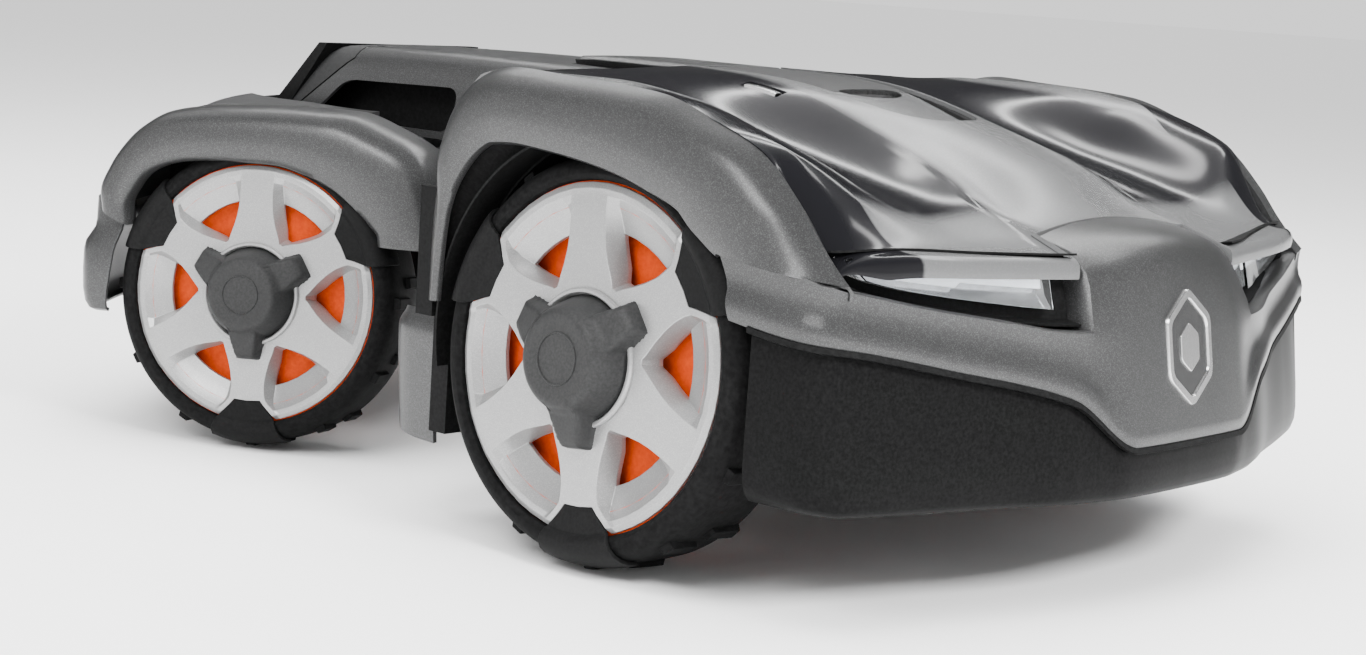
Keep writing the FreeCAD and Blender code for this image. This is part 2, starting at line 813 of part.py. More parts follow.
arch_half = size("arch_half")
recess = [(330, 228), (330, 257), (446, 255), (478, 228)]
arch_shell = arch_solid(arch_profile(0), arch_half).cut(
    arch_solid([(y, z - 0.01) for y, z in arch_profile(size("arch_wall"))], arch_half - size("arch_wall"))
)
arch_shell = arch_shell.cut(arch_solid(recess, arch_half + 1)).cut(stop_gap)

foot_back = size("arch_foot")
core_profile = [
    (151, size("arch_bottom")),
    (151, 275),
    (246, 275),
    (248, 282),
    (436, 282),
    (458, 275),
    (508, size("arch_bottom")),
]
rear_band = [
    (ARCH_SLOPE[0][0] + 0.5, 281.5),
    (ARCH_SLOPE[0][0] + 10, 281.5),
    (foot_back, size("arch_bottom")),
    (ARCH_SLOPE[1][0] + 1, size("arch_bottom")),
]
core = arch_solid(core_profile, size("arch_core_half"))
tower_cap = Part.makeBox(92, 48, 53, Vector(-46, 104, size("arch_bottom")))
riser_gap = Part.makeBox(61, 81, 29, Vector(-30.5, 58, size("arch_bottom")))
bearing_foot = Vector(0, size("wheelbase"), size("arch_bottom"))
bearing_seat = Part.makeCylinder(size("bearing_radius"), size("bearing_tall"), bearing_foot)
bearing_room = Part.makeCylinder(size("bearing_radius") + 0.3, size("bearing_tall") + 0.3, bearing_foot)
tie = Part.makeBox(40, 30, 12, Vector(-20, 480, size("arch_bottom")))
stem_places = (178.0, 226.0)
stem_radius = 3.0
stem_bores = [Part.makeCylinder(stem_radius + 0.05, 20, Vector(0, y, 262)) for y in stem_places]
core = core.multiFuse([arch_solid(rear_band, arch_half), tie, tower_cap])
core = core.cut([bearing_seat, riser_gap] + stem_bores)
core = core.removeSplitter()
keep(shaped("arch_shell", arch_shell.cut([core, bearing_room])), "arch_cover", FRONT)
keep(shaped("core", core), "arch_core", FRONT)

bearing_at = ("0", "dims.wheelbase", "dims.arch_bottom")
bearing = cut(
    "bearing_ring",
    rod("bearing_outer", "dims.bearing_radius", bearing_at, "dims.bearing_tall"),
    rod("bearing_bore", "dims.pivot_radius + dims.pivot_clearance", bearing_at, 80),
)
keep(bearing, "pivot_bearing", FRONT)

# ---------------------------------------------------------------- front unit: electrics

battery = cut(
    "battery",
    block("battery_box", (60, 114), (-36, 100), (150, 204)),
    block("battery_grip", (80, 94), (-37, 101), (196, 205)),
)
keep(battery, "battery_pack", FRONT)
board = fuse(
    "board_solid",
    block("board_plate", (-114, -60), (-60, 100), (154, 156)),
    block("board_posts", (-110, -100), (-56, -46), (150, 154)),
    block("board_posts_back", (-110, -100), (86, 96), (150, 154)),
    block("board_chip", (-100, -78), (0, 22), (156, 159)),
    block("board_relay", (-98, -80), (50, 74), (156, 170)),
)
keep(board, "control_board", FRONT)

panel_top = 262
panel_box = block("panel_box", (-42, 42), (-24, 100), (250, panel_top))
button_holes = [
    rod("jog_hole", 4.05, (0, 12, 254), 20),
    rod("start_hole", 6.3, (-26, 12, 256), 20),
    rod("power_hole", 6.3, (26, 12, 256), 20),
]
screen = block("panel_screen", (-30, 30), (40, 92), (261, 264))
keep(fuse("panel", cut("panel_bored", panel_box, *button_holes), screen), "display_panel", FRONT)
jog = fuse("jog", rod("jog_wheel", 12, (0, 12, 262.5), 6), rod("jog_stem", 4, (0, 12, 255), 9))
keep(jog, "jog_dial", FRONT)
cap_profile = [("0", "258.5"), ("6.25", "258.5"), ("6.25", "264"), ("5", "265.5"), ("0", "265.5")]
for label, x in (("start_button", -26), ("power_button", 26)):
    cap = turned(label + "_body", cap_profile)
    keep(cap, label, FRONT.multiply(Placement(Vector(x, 12, 0), Rotation())))

# ---------------------------------------------------------------- front unit: hatch and stop button

hatch_sheet = height_sheet(hood_height, (-60, 60), (-80, 130), 4.0).common(hatch_column)
knuckle_foot = Vector(-hatch_half + 2, pin_y, pin_z)
knuckle = Part.makeCylinder(knuckle_radius, 2 * hatch_half - 4, knuckle_foot, Vector(1, 0, 0))
pin_bore = Part.makeCylinder(pin_radius + 0.05, 200, Vector(-100, pin_y, pin_z), Vector(1, 0, 0))
hatch_solid = hatch_sheet.fuse(knuckle).cut(pin_bore)
keep(shaped("hatch", hatch_solid), "display_hatch", FRONT)
keep(shaped("pin", pin_shape), "hatch_pin", FRONT)

stop_top = "dims.arch_top + 1"
stop_across = (-hatch_half, hatch_half)
stop_plate = block("stop_plate", stop_across, (stop_front, stop_back), (283, stop_top))
stems = [rod(f"stop_stem_{k}", stem_radius, (0, y, 268), 16) for k, y in enumerate(stem_places)]
keep(fuse("stop", stop_plate, *stems), "stop_button", FRONT)

# ---------------------------------------------------------------- front unit: cutting

carriage = cut(
    "carriage",
    rod("carriage_outer", "dims.well_radius - 0.05", (*deck_mid, 112), 22),
    rod("carriage_bore", "dims.blade_motor_radius", (*deck_mid, 100), 60),
)
keep(carriage, "height_carriage", FRONT)
motor = cut(
    "blade_motor_solid",
    rod("blade_motor_can", "dims.blade_motor_radius", (*deck_mid, 84), 62),
    rod("blade_motor_bore", 6.05, (*deck_mid, 80), 18),
)
keep(motor, "blade_motor", FRONT)

CUTTER = FRONT.multiply(Placement(Vector(0, -size("deck_centre"), size("disc_height")), Rotation()))
disc = turned(
    "blade_disc_body",
    [
        ("0", "-12"),
        ("12", "-12"),
        ("12", "-9"),
        ("8", "-9"),
        ("8", "-dims.disc_thick / 2"),
        ("dims.disc_radius", "-dims.disc_thick / 2"),
        ("dims.disc_radius", "dims.disc_thick / 2"),
        ("14", "dims.disc_thick / 2"),
        ("14", "16"),
        ("6", "16"),
        ("6", "46"),
        ("0", "46"),
    ],
)
keep(disc, "blade_disc", CUTTER)
skid = "dims.skid_radius"
skid_profile = [("8.05", "-8.5"), (skid, "-8.5"), (skid, "-5.5"), ("8.05", "-5.5")]
keep(turned("skid_body", skid_profile), "skid_plate", CUTTER)
blade_screws = []
for k in range(3):
    angle = 120.0 * k + 90.0
    arm = Placement(Vector(), Rotation(Vector(0, 0, 1), angle))
    foot = arm.multVec(Vector(size("blade_pivot_radius"), 0, 0))
    blank = block(
        f"blade_blank_{k}",
        (-8, "dims.blade_reach"),
        ("-dims.blade_width / 2", "dims.blade_width / 2"),
        (-3.5, "-3.5 + dims.blade_thick"),
    )
    hole = rod(f"blade_hole_{k}", "dims.blade_screw_radius + 0.05", (0, 0, -8), 10)
    blade = cut(f"blade_solid_{k}", blank, hole)
    keep(blade, f"blade_{k + 1}", CUTTER.multiply(Placement(foot, arm.Rotation)))
    blade_screws.append(Part.makeCylinder(size("blade_screw_radius"), 2.5, foot + Vector(0, 0, -4.5)))
    blade_screws.append(Part.makeCylinder(5, 1, foot + Vector(0, 0, -5)))
screw_pairs = [a.fuse(b).removeSplitter() for a, b in zip(blade_screws[::2], blade_screws[1::2])]
keep(shaped("blade_screw_set", Part.makeCompound(screw_pairs)), "blade_screws", CUTTER)

# ---------------------------------------------------------------- rear unit

roll_axis = "dims.roll_height"
ALONG = Rotation(Vector(1, 0, 0), -90)
yoke = fuse(
    "yoke_solid",
    block("yoke_block", (-24, 24), (-24, 24), (f"{roll_axis} - 22", f"{roll_axis} + 22")),
    rod("yoke_shaft", "dims.pivot_radius", (0, 0, roll_axis), 73),
)
yoke_bore = rod("yoke_bore", "dims.roll_radius + dims.pivot_clearance", (0, -40, roll_axis), 80, ALONG)
keep(cut("yoke", yoke, yoke_bore), "steering_yoke", REAR)

rear_solid = fuse(
    "rear_chassis_solid",
    block("rear_tub", (-112, 112), (-78, 95), (64, 150)),
    block("rear_tower", (-112, 112), (27, 95), (149, 204)),
    block("rear_front_tower", (-112, 112), (-60, -27), (149, 204)),
    block("rear_shoulder", (-150, 150), (98, 112), (120, 226)),
    block("rear_bracket", (-150, 150), (94, 100), (120, 204)),
    block("rear_tail_beam", (-60, 60), (110, 165), (120, 132)),
)
yoke_pocket = block("yoke_pocket", (-40, 40), (-24.6, 24.6), (128, 300))
roll_pin = rod("roll_pin", "dims.roll_radius", (0, -50, roll_axis), 100, ALONG)
rear_frame = fuse("rear_frame", cut("rear_pocketed", rear_solid, yoke_pocket), roll_pin)
keep(rear_frame, "rear_chassis", REAR)

rear_outline = (
    list(REAR_SEAM) + list(REAR_TAIL) + list(REAR_ARCH)
)
for side_name, side in SIDES.items():
    wall = side_wall(rear_outline, size("rear_lip_half"), size("rear_skin_half"), 3.5, side)
    keep(shaped(f"rear_fender_{side_name}_shell", wall), f"fender_rear_{side_name}", REAR)

lip = size("rear_lip_half")
cover_plan = [Vector(-lip, -40, 226), Vector(-lip, 118, 226), Vector(lip, 118, 226), Vector(lip, -40, 226)]
arch_room = Part.makeCylinder(104, 60, Vector(0, 0, 200))
front_plan = [Vector(-130, 40, 200), Vector(130, 40, 200), Vector(150, -60, 200), Vector(-150, -60, 200)]
front_room = prism(front_plan, Vector(0, 0, 60))
cover_solid = prism(cover_plan, Vector(0, 0, 10)).cut(arch_room).cut(front_room)
keep(shaped("rear_cover", cover_solid), "rear_top_cover", REAR)

apron_line = [(26, 208), (-62, 208), (-114, 150), (-110, 147), (-60, 204), (26, 204)]
apron = prism([Vector(-150, y, z) for y, z in apron_line], Vector(300, 0, 0))
apron = apron.cut(Part.makeCylinder(24, 30, Vector(0, 0, 190)))
keep(shaped("rear_apron_shell", apron), "rear_apron", REAR)


tail_low = 86.0
tail_high = 135.0


def tail_form(inset):
    """The rear bumper as a solid lump, drawn in by inset."""
    half = size("rear_skin_half") - inset
    tail = size("rear_tail") - inset
    shoulder = inset / 3
    line = [
        (half, 104),
        (half, 112),
        (half - 3, 122 - shoulder),
        (half - 16, 137 - shoulder),
        (half * 0.6, tail - 9),
        (half * 0.3, tail),
    ]
    points = [Vector(x, y, tail_low) for x, y in line]
    curve = Part.BSplineCurve()
    curve.interpolate(mirrored(points))
    wire = Part.Wire([curve.toShape(), Part.makeLine(Vector(-half, 104, tail_low), points[0])])
    return Part.Face(wire).extrude(Vector(0, 0, tail_high - tail_low))


beam_box = Part.makeBox(100, 20, 12, Vector(-50, 165, 120)).common(tail_form(3.9))
tail_shell = tail_form(0).cut(tail_form(4)).fuse(beam_box).removeSplitter()
keep(shaped("tail_shell", tail_shell), "rear_bumper", REAR)

# ---------------------------------------------------------------- checks and output

doc.recompute()
for item in doc.Objects:
    if "Invalid" in item.State or "Error" in item.State:
        raise ValueError(f"{item.Name} is {item.State}")
for item in kept:
    if item.Shape.isNull() or not item.Shape.isValid() or not item.Shape.Solids:
        raise ValueError(f"{item.Label} has no valid shape")
for item in kept:
    item.Shape.exportStep(f"parts/{item.Label}.step")
print(len(kept), "sub-parts")
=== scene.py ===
import json
import math

import bmesh
import bpy
from mathutils import Matrix, Vector


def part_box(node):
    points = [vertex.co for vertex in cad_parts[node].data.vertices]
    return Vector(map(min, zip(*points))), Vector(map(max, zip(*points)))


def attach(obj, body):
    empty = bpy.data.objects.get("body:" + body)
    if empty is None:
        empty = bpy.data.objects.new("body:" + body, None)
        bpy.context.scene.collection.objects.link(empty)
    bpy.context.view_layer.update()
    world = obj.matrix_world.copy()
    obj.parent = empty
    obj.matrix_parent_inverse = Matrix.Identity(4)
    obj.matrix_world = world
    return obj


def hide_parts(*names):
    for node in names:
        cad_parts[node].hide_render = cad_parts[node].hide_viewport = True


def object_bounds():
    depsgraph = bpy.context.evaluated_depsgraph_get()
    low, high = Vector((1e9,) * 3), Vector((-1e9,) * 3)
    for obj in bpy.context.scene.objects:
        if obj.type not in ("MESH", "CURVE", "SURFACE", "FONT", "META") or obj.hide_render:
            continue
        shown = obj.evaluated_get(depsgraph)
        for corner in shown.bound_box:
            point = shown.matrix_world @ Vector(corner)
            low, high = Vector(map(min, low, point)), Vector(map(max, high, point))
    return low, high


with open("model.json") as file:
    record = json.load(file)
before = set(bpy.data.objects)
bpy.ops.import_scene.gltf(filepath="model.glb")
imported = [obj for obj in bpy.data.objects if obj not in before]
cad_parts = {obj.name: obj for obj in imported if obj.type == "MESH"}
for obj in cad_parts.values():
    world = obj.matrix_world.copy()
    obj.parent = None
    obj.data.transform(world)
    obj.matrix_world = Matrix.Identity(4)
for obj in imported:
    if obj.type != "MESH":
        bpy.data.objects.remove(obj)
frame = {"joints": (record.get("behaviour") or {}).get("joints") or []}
cad_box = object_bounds()
MM = 0.001


# ---------------------------------------------------------------- places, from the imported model


def middle(node):
    """The centre of a CAD node's box."""
    low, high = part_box(node)
    return (Vector(low) + Vector(high)) / 2


disc = middle("blade_disc")
pivot = middle("pivot_bearing")
STEER = math.radians(26.67)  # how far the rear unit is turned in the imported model
DISC_AHEAD = 0.070  # from the front axle, the front unit's own zero, to the cutting disc
FRONT = Matrix.Translation((disc.x, disc.y + DISC_AHEAD, 0))
REAR = Matrix.Translation((pivot.x, pivot.y, 0)) @ Matrix.Rotation(STEER, 4, "Z")
SIDES = {"right": -1, "left": 1}


# ---------------------------------------------------------------- materials


def fill(tree, node, values):
    """Sets a node's sockets, each to a constant or by a link from another node's output."""
    for socket, value in values.items():
        if isinstance(value, bpy.types.NodeSocket):
            tree.links.new(value, node.inputs[socket])
        else:
            node.inputs[socket].default_value = value
    return node


def add(tree, kind, values, **settings):
    """A new shader node with its settings made and its sockets filled."""
    node = tree.nodes.new("ShaderNode" + kind)
    for name, value in settings.items():
        setattr(node, name, value)
    return fill(tree, node, values)


def setting(mat, values):
    """Fills sockets of a material's own shader."""
    fill(mat.node_tree, mat.node_tree.nodes["Principled BSDF"], values)


def material(name, colour, rough, metal=0.0, coat=0.0, coat_rough=0.1, specular=0.5):
    """A Principled material and its node tree. Constant values sit on the shader's own sockets."""
    mat = bpy.data.materials.new(name)
    mat.use_nodes = True
    setting(mat, {
        "Base Color": (*colour, 1), "Roughness": rough, "Metallic": metal, "Coat Weight": coat,
        "Coat Roughness": coat_rough, "Specular IOR Level": specular,
    })
    return mat


def noise(mat, scale, detail=2.0, rough=0.5):
    """A noise texture on the object's own coordinates."""
    place = add(mat.node_tree, "TexCoord", {}).outputs["Object"]
    values = {"Scale": scale, "Detail": detail, "Roughness": rough, "Vector": place}
    return add(mat.node_tree, "TexNoise", values).outputs["Fac"]


def ramp(tree, source, stops):
    """A colour ramp over a value. Each stop is (place, colour)."""
    node = add(tree, "ValToRGB", {"Fac": source})
    while len(node.color_ramp.elements) < len(stops):
        node.color_ramp.elements.new(0.5)
    for element, (place, colour) in zip(node.color_ramp.elements, stops):
        element.position = place
        element.color = (*colour, 1)
    return node.outputs["Color"]


def drive(mat, socket, source, low, high):
    """Links a value from 0 to 1 to one of the shader's sockets, mapped to low-high."""
    span = add(mat.node_tree, "MapRange", {"To Min": low, "To Max": high, "Value": source})
    setting(mat, {socket: span.outputs["Result"]})


def grain(mat, source, strength, distance):
    """Surface relief from a value. Distance is in metres."""
    bump = add(mat.node_tree, "Bump", {"Strength": strength, "Distance": distance, "Height": source})
    setting(mat, {"Normal": bump.outputs["Normal"]})


def grey(value, tint=1.02):
    """A near-neutral grey, a little cooler than true."""
    return (value, value * (1 + tint) / 2, value * tint)


def moulded(name, dark, light, rough, scale=420, relief=0.00012, metal=0.0, coat=0.0):
    """Moulded plastic: a fine grain that shows in its colour, its gloss and its surface."""
    mat = material(name, dark, rough, metal, coat)
    fine = noise(mat, scale, 3.0, 0.6)
    broad = noise(mat, 9, 2.0)
    setting(mat, {"Base Color": ramp(mat.node_tree, fine, [(0.35, dark), (0.68, light)])})
    drive(mat, "Roughness", broad, rough - 0.06, rough + 0.06)
    grain(mat, fine, 0.25, relief)
    return mat


def flaked(name, base, flake, rough, metal=0.35, coat=0.25, relief=0.12):
    """Satin paint with fine metal flakes."""
    mat = material(name, base, rough, metal, coat, 0.25)
    tree = mat.node_tree
    place = add(tree, "TexCoord", {}).outputs["Object"]
    cells = add(tree, "TexVoronoi", {"Scale": 2600, "Vector": place})
    pick = add(tree, "SeparateColor", {"Color": cells.outputs["Color"]})
    setting(mat, {"Base Color": ramp(tree, pick.outputs["Red"], [(0.0, base), (0.60, base), (1.0, flake)])})
    drive(mat, "Roughness", noise(mat, 14, 2.0), rough - 0.05, rough + 0.05)
    grain(mat, noise(mat, 700, 2.0), relief, 0.00008)
    return mat


HOOD_ROUGH, HOOD_METAL = 0.24, 0.35
BODY = flaked("body_granite", grey(0.030), grey(0.074), 0.34, 0.45, 0.15)
# The second of these, for the hood shell, gets painted dark reflections in its valleys below.
HOOD, HOOD_PAINTED_REFLECTIONS = [
    flaked(name, grey(0.12), grey(0.15), HOOD_ROUGH, HOOD_METAL, 0.1, 0.006)
    for name in ("hood_satin", "hood_painted_reflections")
]


def step_node(mat, source, low, high, rising=True):
    """A smooth step of a value, from 0 to 1 or from 1 to 0."""
    first, last = (0.0, 1.0) if rising else (1.0, 0.0)
    values = {"From Min": low, "From Max": high, "To Min": first, "To Max": last, "Value": source}
    return add(mat.node_tree, "MapRange", values, interpolation_type="SMOOTHSTEP").outputs["Result"]


def sum_node(mat, operation, first, second):
    """One arithmetic step between two values."""
    return add(mat.node_tree, "Math", {0: first, 1: second}, operation=operation).outputs["Value"]


def paint_valley_dark_reflections(mat):
    """Painted dark reflections: the base colour is darkened in the hollows on both sides of the spine, blended
    at their edges, standing for the dark surroundings these glossy hollows mirror; there the paint also loses
    its metal and grows glossier.
    Places are in metres: across from the hood's middle, and along from the front axle."""
    tree = mat.node_tree
    place = add(tree, "TexCoord", {}).outputs["Object"]
    split = add(tree, "SeparateXYZ", {"Vector": place})
    across = sum_node(mat, "ABSOLUTE", split.outputs["X"], 0.0)
    along_y = sum_node(mat, "ADD", split.outputs["Y"], -FRONT.translation.y)
    past_spine = sum_node(mat, "ADD", across, sum_node(mat, "MULTIPLY", along_y, 0.11))
    inside = step_node(mat, past_spine, 0.058, 0.070)
    below_crest = step_node(mat, across, 0.205, 0.221, False)
    ahead = step_node(mat, along_y, -0.158, -0.140)
    mask = sum_node(mat, "MULTIPLY", sum_node(mat, "MULTIPLY", inside, below_crest), ahead)
    widening = sum_node(mat, "MULTIPLY", step_node(mat, along_y, -0.110, -0.040, False), 0.032)
    outer = step_node(mat, sum_node(mat, "ADD", across, widening), 0.2345, 0.2375)
    low_end = step_node(mat, along_y, 0.010, -0.030)
    mask = sum_node(mat, "MAXIMUM", mask, sum_node(mat, "MULTIPLY", outer, low_end))
    colour = tree.nodes["Principled BSDF"].inputs["Base Color"].links[0].from_socket
    mix = add(tree, "Mix", {}, data_type="RGBA")
    # The painted dark reflection: a near-black colour mixed in where the mask is high, in the valleys and on
    # the crest's outer slope at the front.
    fill(tree, mix, {0: mask, 6: colour, 7: (0.006, 0.006, 0.007, 1)})
    setting(mat, {"Base Color": mix.outputs[2]})
    drive(mat, "Metallic", mask, HOOD_METAL, 0.0)
    drive(mat, "Roughness", mask, HOOD_ROUGH, 0.13)


paint_valley_dark_reflections(HOOD_PAINTED_REFLECTIONS)
setting(HOOD_PAINTED_REFLECTIONS, {"Coat Weight": 0.0})
GLOSS = moulded("gloss_dark", grey(0.022), grey(0.032), 0.16, 260, 0.00003, 0.0, 0.7)
SILVER = flaked("wheel_silver", grey(0.30, 1.0), grey(0.40, 1.0), 0.34, 0.55, 0.1)
SKIRT = moulded("skirt_black", grey(0.004), grey(0.008), 0.34, 520, 0.00005)
FRAME = moulded("frame_black", grey(0.005), grey(0.010), 0.55)
RUBBER = moulded("tyre_rubber", grey(0.004), grey(0.009), 0.62, 300, 0.0003)
WEDGE = moulded("wedge_black", grey(0.006), grey(0.010), 0.50, 500, 0.0001)
KNOB = moulded("knob_grey", grey(0.018), grey(0.028), 0.46, 600, 0.00012)
PLATE = moulded("plate_dark", grey(0.026), grey(0.036), 0.50, 500, 0.00008)
PALE = moulded("pale_grey", grey(0.30), grey(0.36), 0.34, 500, 0.00006)
ORANGE = moulded("disc_orange", (0.62, 0.046, 0.0), (0.72, 0.066, 0.001), 0.7, 320, 0.0002)
STEEL = moulded("bright_steel", grey(0.42, 1.0), grey(0.56, 1.0), 0.30, 900, 0.00003, 1.0)
CHROME = moulded("satin_chrome", grey(0.66, 1.0), grey(0.74, 1.0), 0.20, 900, 0.00002, 0.95)
BOARD = moulded("solder_mask", (0.010, 0.070, 0.030), (0.016, 0.110, 0.045), 0.30)
GREEN = moulded("start_green", (0.020, 0.200, 0.045), (0.030, 0.260, 0.060), 0.45)
LAMP_BACK = moulded("lamp_reflector", grey(0.55, 1.0), grey(0.70, 1.0), 0.18, 60, 0.0001, 0.9)

for mat, level in (
    (HOOD_PAINTED_REFLECTIONS, 0.16), (ORANGE, 0.15), (SKIRT, 0.03), (FRAME, 0.05),
    (RUBBER, 0.04), (WEDGE, 0.05), (KNOB, 0.16), (PLATE, 0.12),
):
    setting(mat, {"Specular IOR Level": level})

LENS = material("lamp_lens", (0.93, 0.95, 0.97), 0.05)
setting(LENS, {"Transmission Weight": 1.0, "IOR": 1.45})
drive(LENS, "Roughness", noise(LENS, 30, 2.0), 0.02, 0.09)

GLOW = material("lamp_strip", (0.95, 0.97, 1.0), 0.3)
setting(GLOW, {"Emission Color": (0.95, 0.97, 1.0, 1), "Emission Strength": 0.9})
drive(GLOW, "Roughness", noise(GLOW, 200, 2.0), 0.2, 0.4)


# ---------------------------------------------------------------- mesh tools, in millimetres


def lerp(a, b, t):
    return a + (b - a) * t


def ease(start, end, at):
    """0 before start, 1 after end, smooth between."""
    t = min(1.0, max(0.0, (at - start) / (end - start)))
    return t * t * (3 - 2 * t)


def smooth(points, at):
    """A line through the points with no overshoot: a cubic between each two, flat at a peak."""
    points = sorted(points)
    if at <= points[0][0]:
        return points[0][1]
    if at >= points[-1][0]:
        return points[-1][1]
    rise = [(b[1] - a[1]) / (b[0] - a[0]) for a, b in zip(points, points[1:])]
    slope = [rise[0]]
    for before, after in zip(rise, rise[1:]):
        slope.append(2 * before * after / (before + after) if before * after > 0 else 0.0)
    slope.append(rise[-1])
    k = next(k for k in range(len(rise)) if at <= points[k + 1][0])
    (x0, y0), (x1, y1) = points[k], points[k + 1]
    gap = x1 - x0
    t = (at - x0) / gap
    rising = slope[k] * gap * t * (1 - t) ** 2 - slope[k + 1] * gap * t * t * (1 - t)
    return y0 * (1 + 2 * t) * (1 - t) ** 2 + y1 * t * t * (3 - 2 * t) + rising


def along(points, count):
    """Count points spaced evenly by parameter on a smooth curve through the given ones."""
    points = [Vector(p) for p in points]
    spots = [0.0]
    for a, b in zip(points, points[1:]):
        spots.append(spots[-1] + max((b - a).length, 1e-6))
    axes = [[(s, p[k]) for s, p in zip(spots, points)] for k in range(3)]
    total = spots[-1]
    steps = [total * k / (count - 1) for k in range(count)]
    return [Vector([smooth(axis, s) for axis in axes]) for s in steps]


def heading(line, k):
    """The direction of a line of points at its point k."""
    before, after = line[max(k - 1, 0)], line[min(k + 1, len(line) - 1)]
    return Vector([b - a for a, b in zip(before, after)]).normalized()


def shell(rows, thick, ring=False):
    """A grid of points given thickness behind it. Its outside faces the way that rows x columns turns."""
    count = len(rows)
    width = len(rows[0])
    outer = [p for row in rows for p in row]
    inner = []
    for i in range(count):
        for j in range(width):
            down = rows[min(i + 1, count - 1)][j] - rows[max(i - 1, 0)][j]
            if ring:
                over = rows[i][(j + 1) % width] - rows[i][(j - 1) % width]
            else:
                over = rows[i][min(j + 1, width - 1)] - rows[i][max(j - 1, 0)]
            normal = down.cross(over)
            if normal.length > 1e-9:
                normal.normalize()
            inner.append(rows[i][j] - normal * thick)
    offset = count * width
    spans = width if ring else width - 1
    faces = []
    for i in range(count - 1):
        for j in range(spans):
            a, b = i * width + j, i * width + (j + 1) % width
            c, d = b + width, a + width
            faces.append((a, d, c, b))
            faces.append((a + offset, b + offset, c + offset, d + offset))
    for j in range(spans):
        a, b = j, (j + 1) % width
        faces.append((a, b, b + offset, a + offset))
        a, b = a + (count - 1) * width, b + (count - 1) * width
        faces.append((a, a + offset, b + offset, b))
    if not ring:
        for i in range(count - 1):
            a, b = i * width, (i + 1) * width
            faces.append((a, a + offset, b + offset, b))
            a, b = a + width - 1, b + width - 1
            faces.append((a, b, b + offset, a + offset))
    return outer + inner, faces


def slab(outline, low, high):
    """A flat-topped solid on a closed outline of (x, y), between two heights."""
    count = len(outline)
    verts = [Vector((x, y, low)) for x, y in outline] + [Vector((x, y, high)) for x, y in outline]
    faces = [tuple(reversed(range(count))), tuple(range(count, 2 * count))]
    faces += [(k, (k + 1) % count, (k + 1) % count + count, k + count) for k in range(count)]
    return verts, faces


def prism(outline, direction):
    """A solid on a closed outline of 3-D points, pushed along a direction."""
    count = len(outline)
    outline = [Vector(p) for p in outline]
    verts = outline + [p + Vector(direction) for p in outline]
    faces = [tuple(reversed(range(count))), tuple(range(count, 2 * count))]
    faces += [(k, (k + 1) % count, (k + 1) % count + count, k + count) for k in range(count)]
    return verts, faces


def spun(profile, count):
    """A closed solid of revolution about Z from a closed profile of (radius, height)."""
    verts = []
    for k in range(count):
        turn = 2 * math.pi * k / count
        verts += [Vector((r * math.sin(turn), r * math.cos(turn), z)) for r, z in profile]
    width = len(profile)
    faces = []
    for k in range(count):
        for j in range(width):
            a, b = k * width + j, k * width + (j + 1) % width
            c, d = ((k + 1) % count) * width + (j + 1) % width, ((k + 1) % count) * width + j
            faces.append((a, b, c, d))
    return verts, faces


def joined(*pieces):
    """Several (verts, faces) as one."""
    verts, faces = [], []
    for piece_verts, piece_faces in pieces:
        start = len(verts)
        verts += piece_verts
        faces += [tuple(k + start for k in face) for face in piece_faces]
    return verts, faces


def mirror(piece, side):
    """The piece, or its mirror image across X for side 1. Pieces are drawn on the machine's right."""
    verts, faces = piece
    if side < 0:
        return verts, faces
    return [Vector((-v.x, v.y, v.z)) for v in verts], [tuple(reversed(face)) for face in faces]


def both_sides(rows):
    """Rows drawn from the middle to the right, with the left side's mirror image before them."""
    left = [[Vector((-p.x, p.y, p.z)) for p in row] for row in rows[1:]]
    return left[::-1] + rows


def sheet(rows, ring=False):
    """A grid of points as an open surface. Its outside faces the way that rows x columns turns."""
    width = len(rows[0])
    spans = width if ring else width - 1
    faces = []
    for i in range(len(rows) - 1):
        for j in range(spans):
            a, b = i * width + j, i * width + (j + 1) % width
            faces.append((a, a + width, b + width, b))
    return [Vector(p) for row in rows for p in row], faces


def turned_over(piece):
    """The piece with its faces turned the other way."""
    return piece[0], [tuple(reversed(face)) for face in piece[1]]


def trimmed(item, cutter, keep, unit=FRONT):
    """Cuts an object by a closed (verts, faces): keeps what is inside it, or what is outside."""
    mesh = bpy.data.meshes.new("cutter")
    mesh.from_pydata([v * MM for v in cutter[0]], [], cutter[1])
    solid = bmesh.new()
    solid.from_mesh(mesh)
    bmesh.ops.recalc_face_normals(solid, faces=solid.faces)
    solid.to_mesh(mesh)
    solid.free()
    block = bpy.data.objects.new("cutter", mesh)
    bpy.context.scene.collection.objects.link(block)
    block.matrix_world = unit
    step = item.modifiers.new("cut", "BOOLEAN")
    step.operation = "INTERSECT" if keep else "DIFFERENCE"
    step.solver = "EXACT"
    step.object = block
    bpy.context.view_layer.update()
    ready = item.evaluated_get(bpy.context.evaluated_depsgraph_get())
    result = bpy.data.meshes.new_from_object(ready)
    item.modifiers.clear()
    item.data = result
    bpy.data.objects.remove(block)
    for polygon in result.polygons:
        polygon.use_smooth = True
    result.set_sharp_from_angle(angle=math.radians(32))
    return item


def rounded(item, width, segments=2, angle=32):
    """Rounds an object's edges."""
    edge = item.modifiers.new("edges", "BEVEL")
    edge.width = width * MM
    edge.segments = segments
    edge.limit_method = "ANGLE"
    edge.angle_limit = math.radians(angle)
    edge.harden_normals = True
    return item


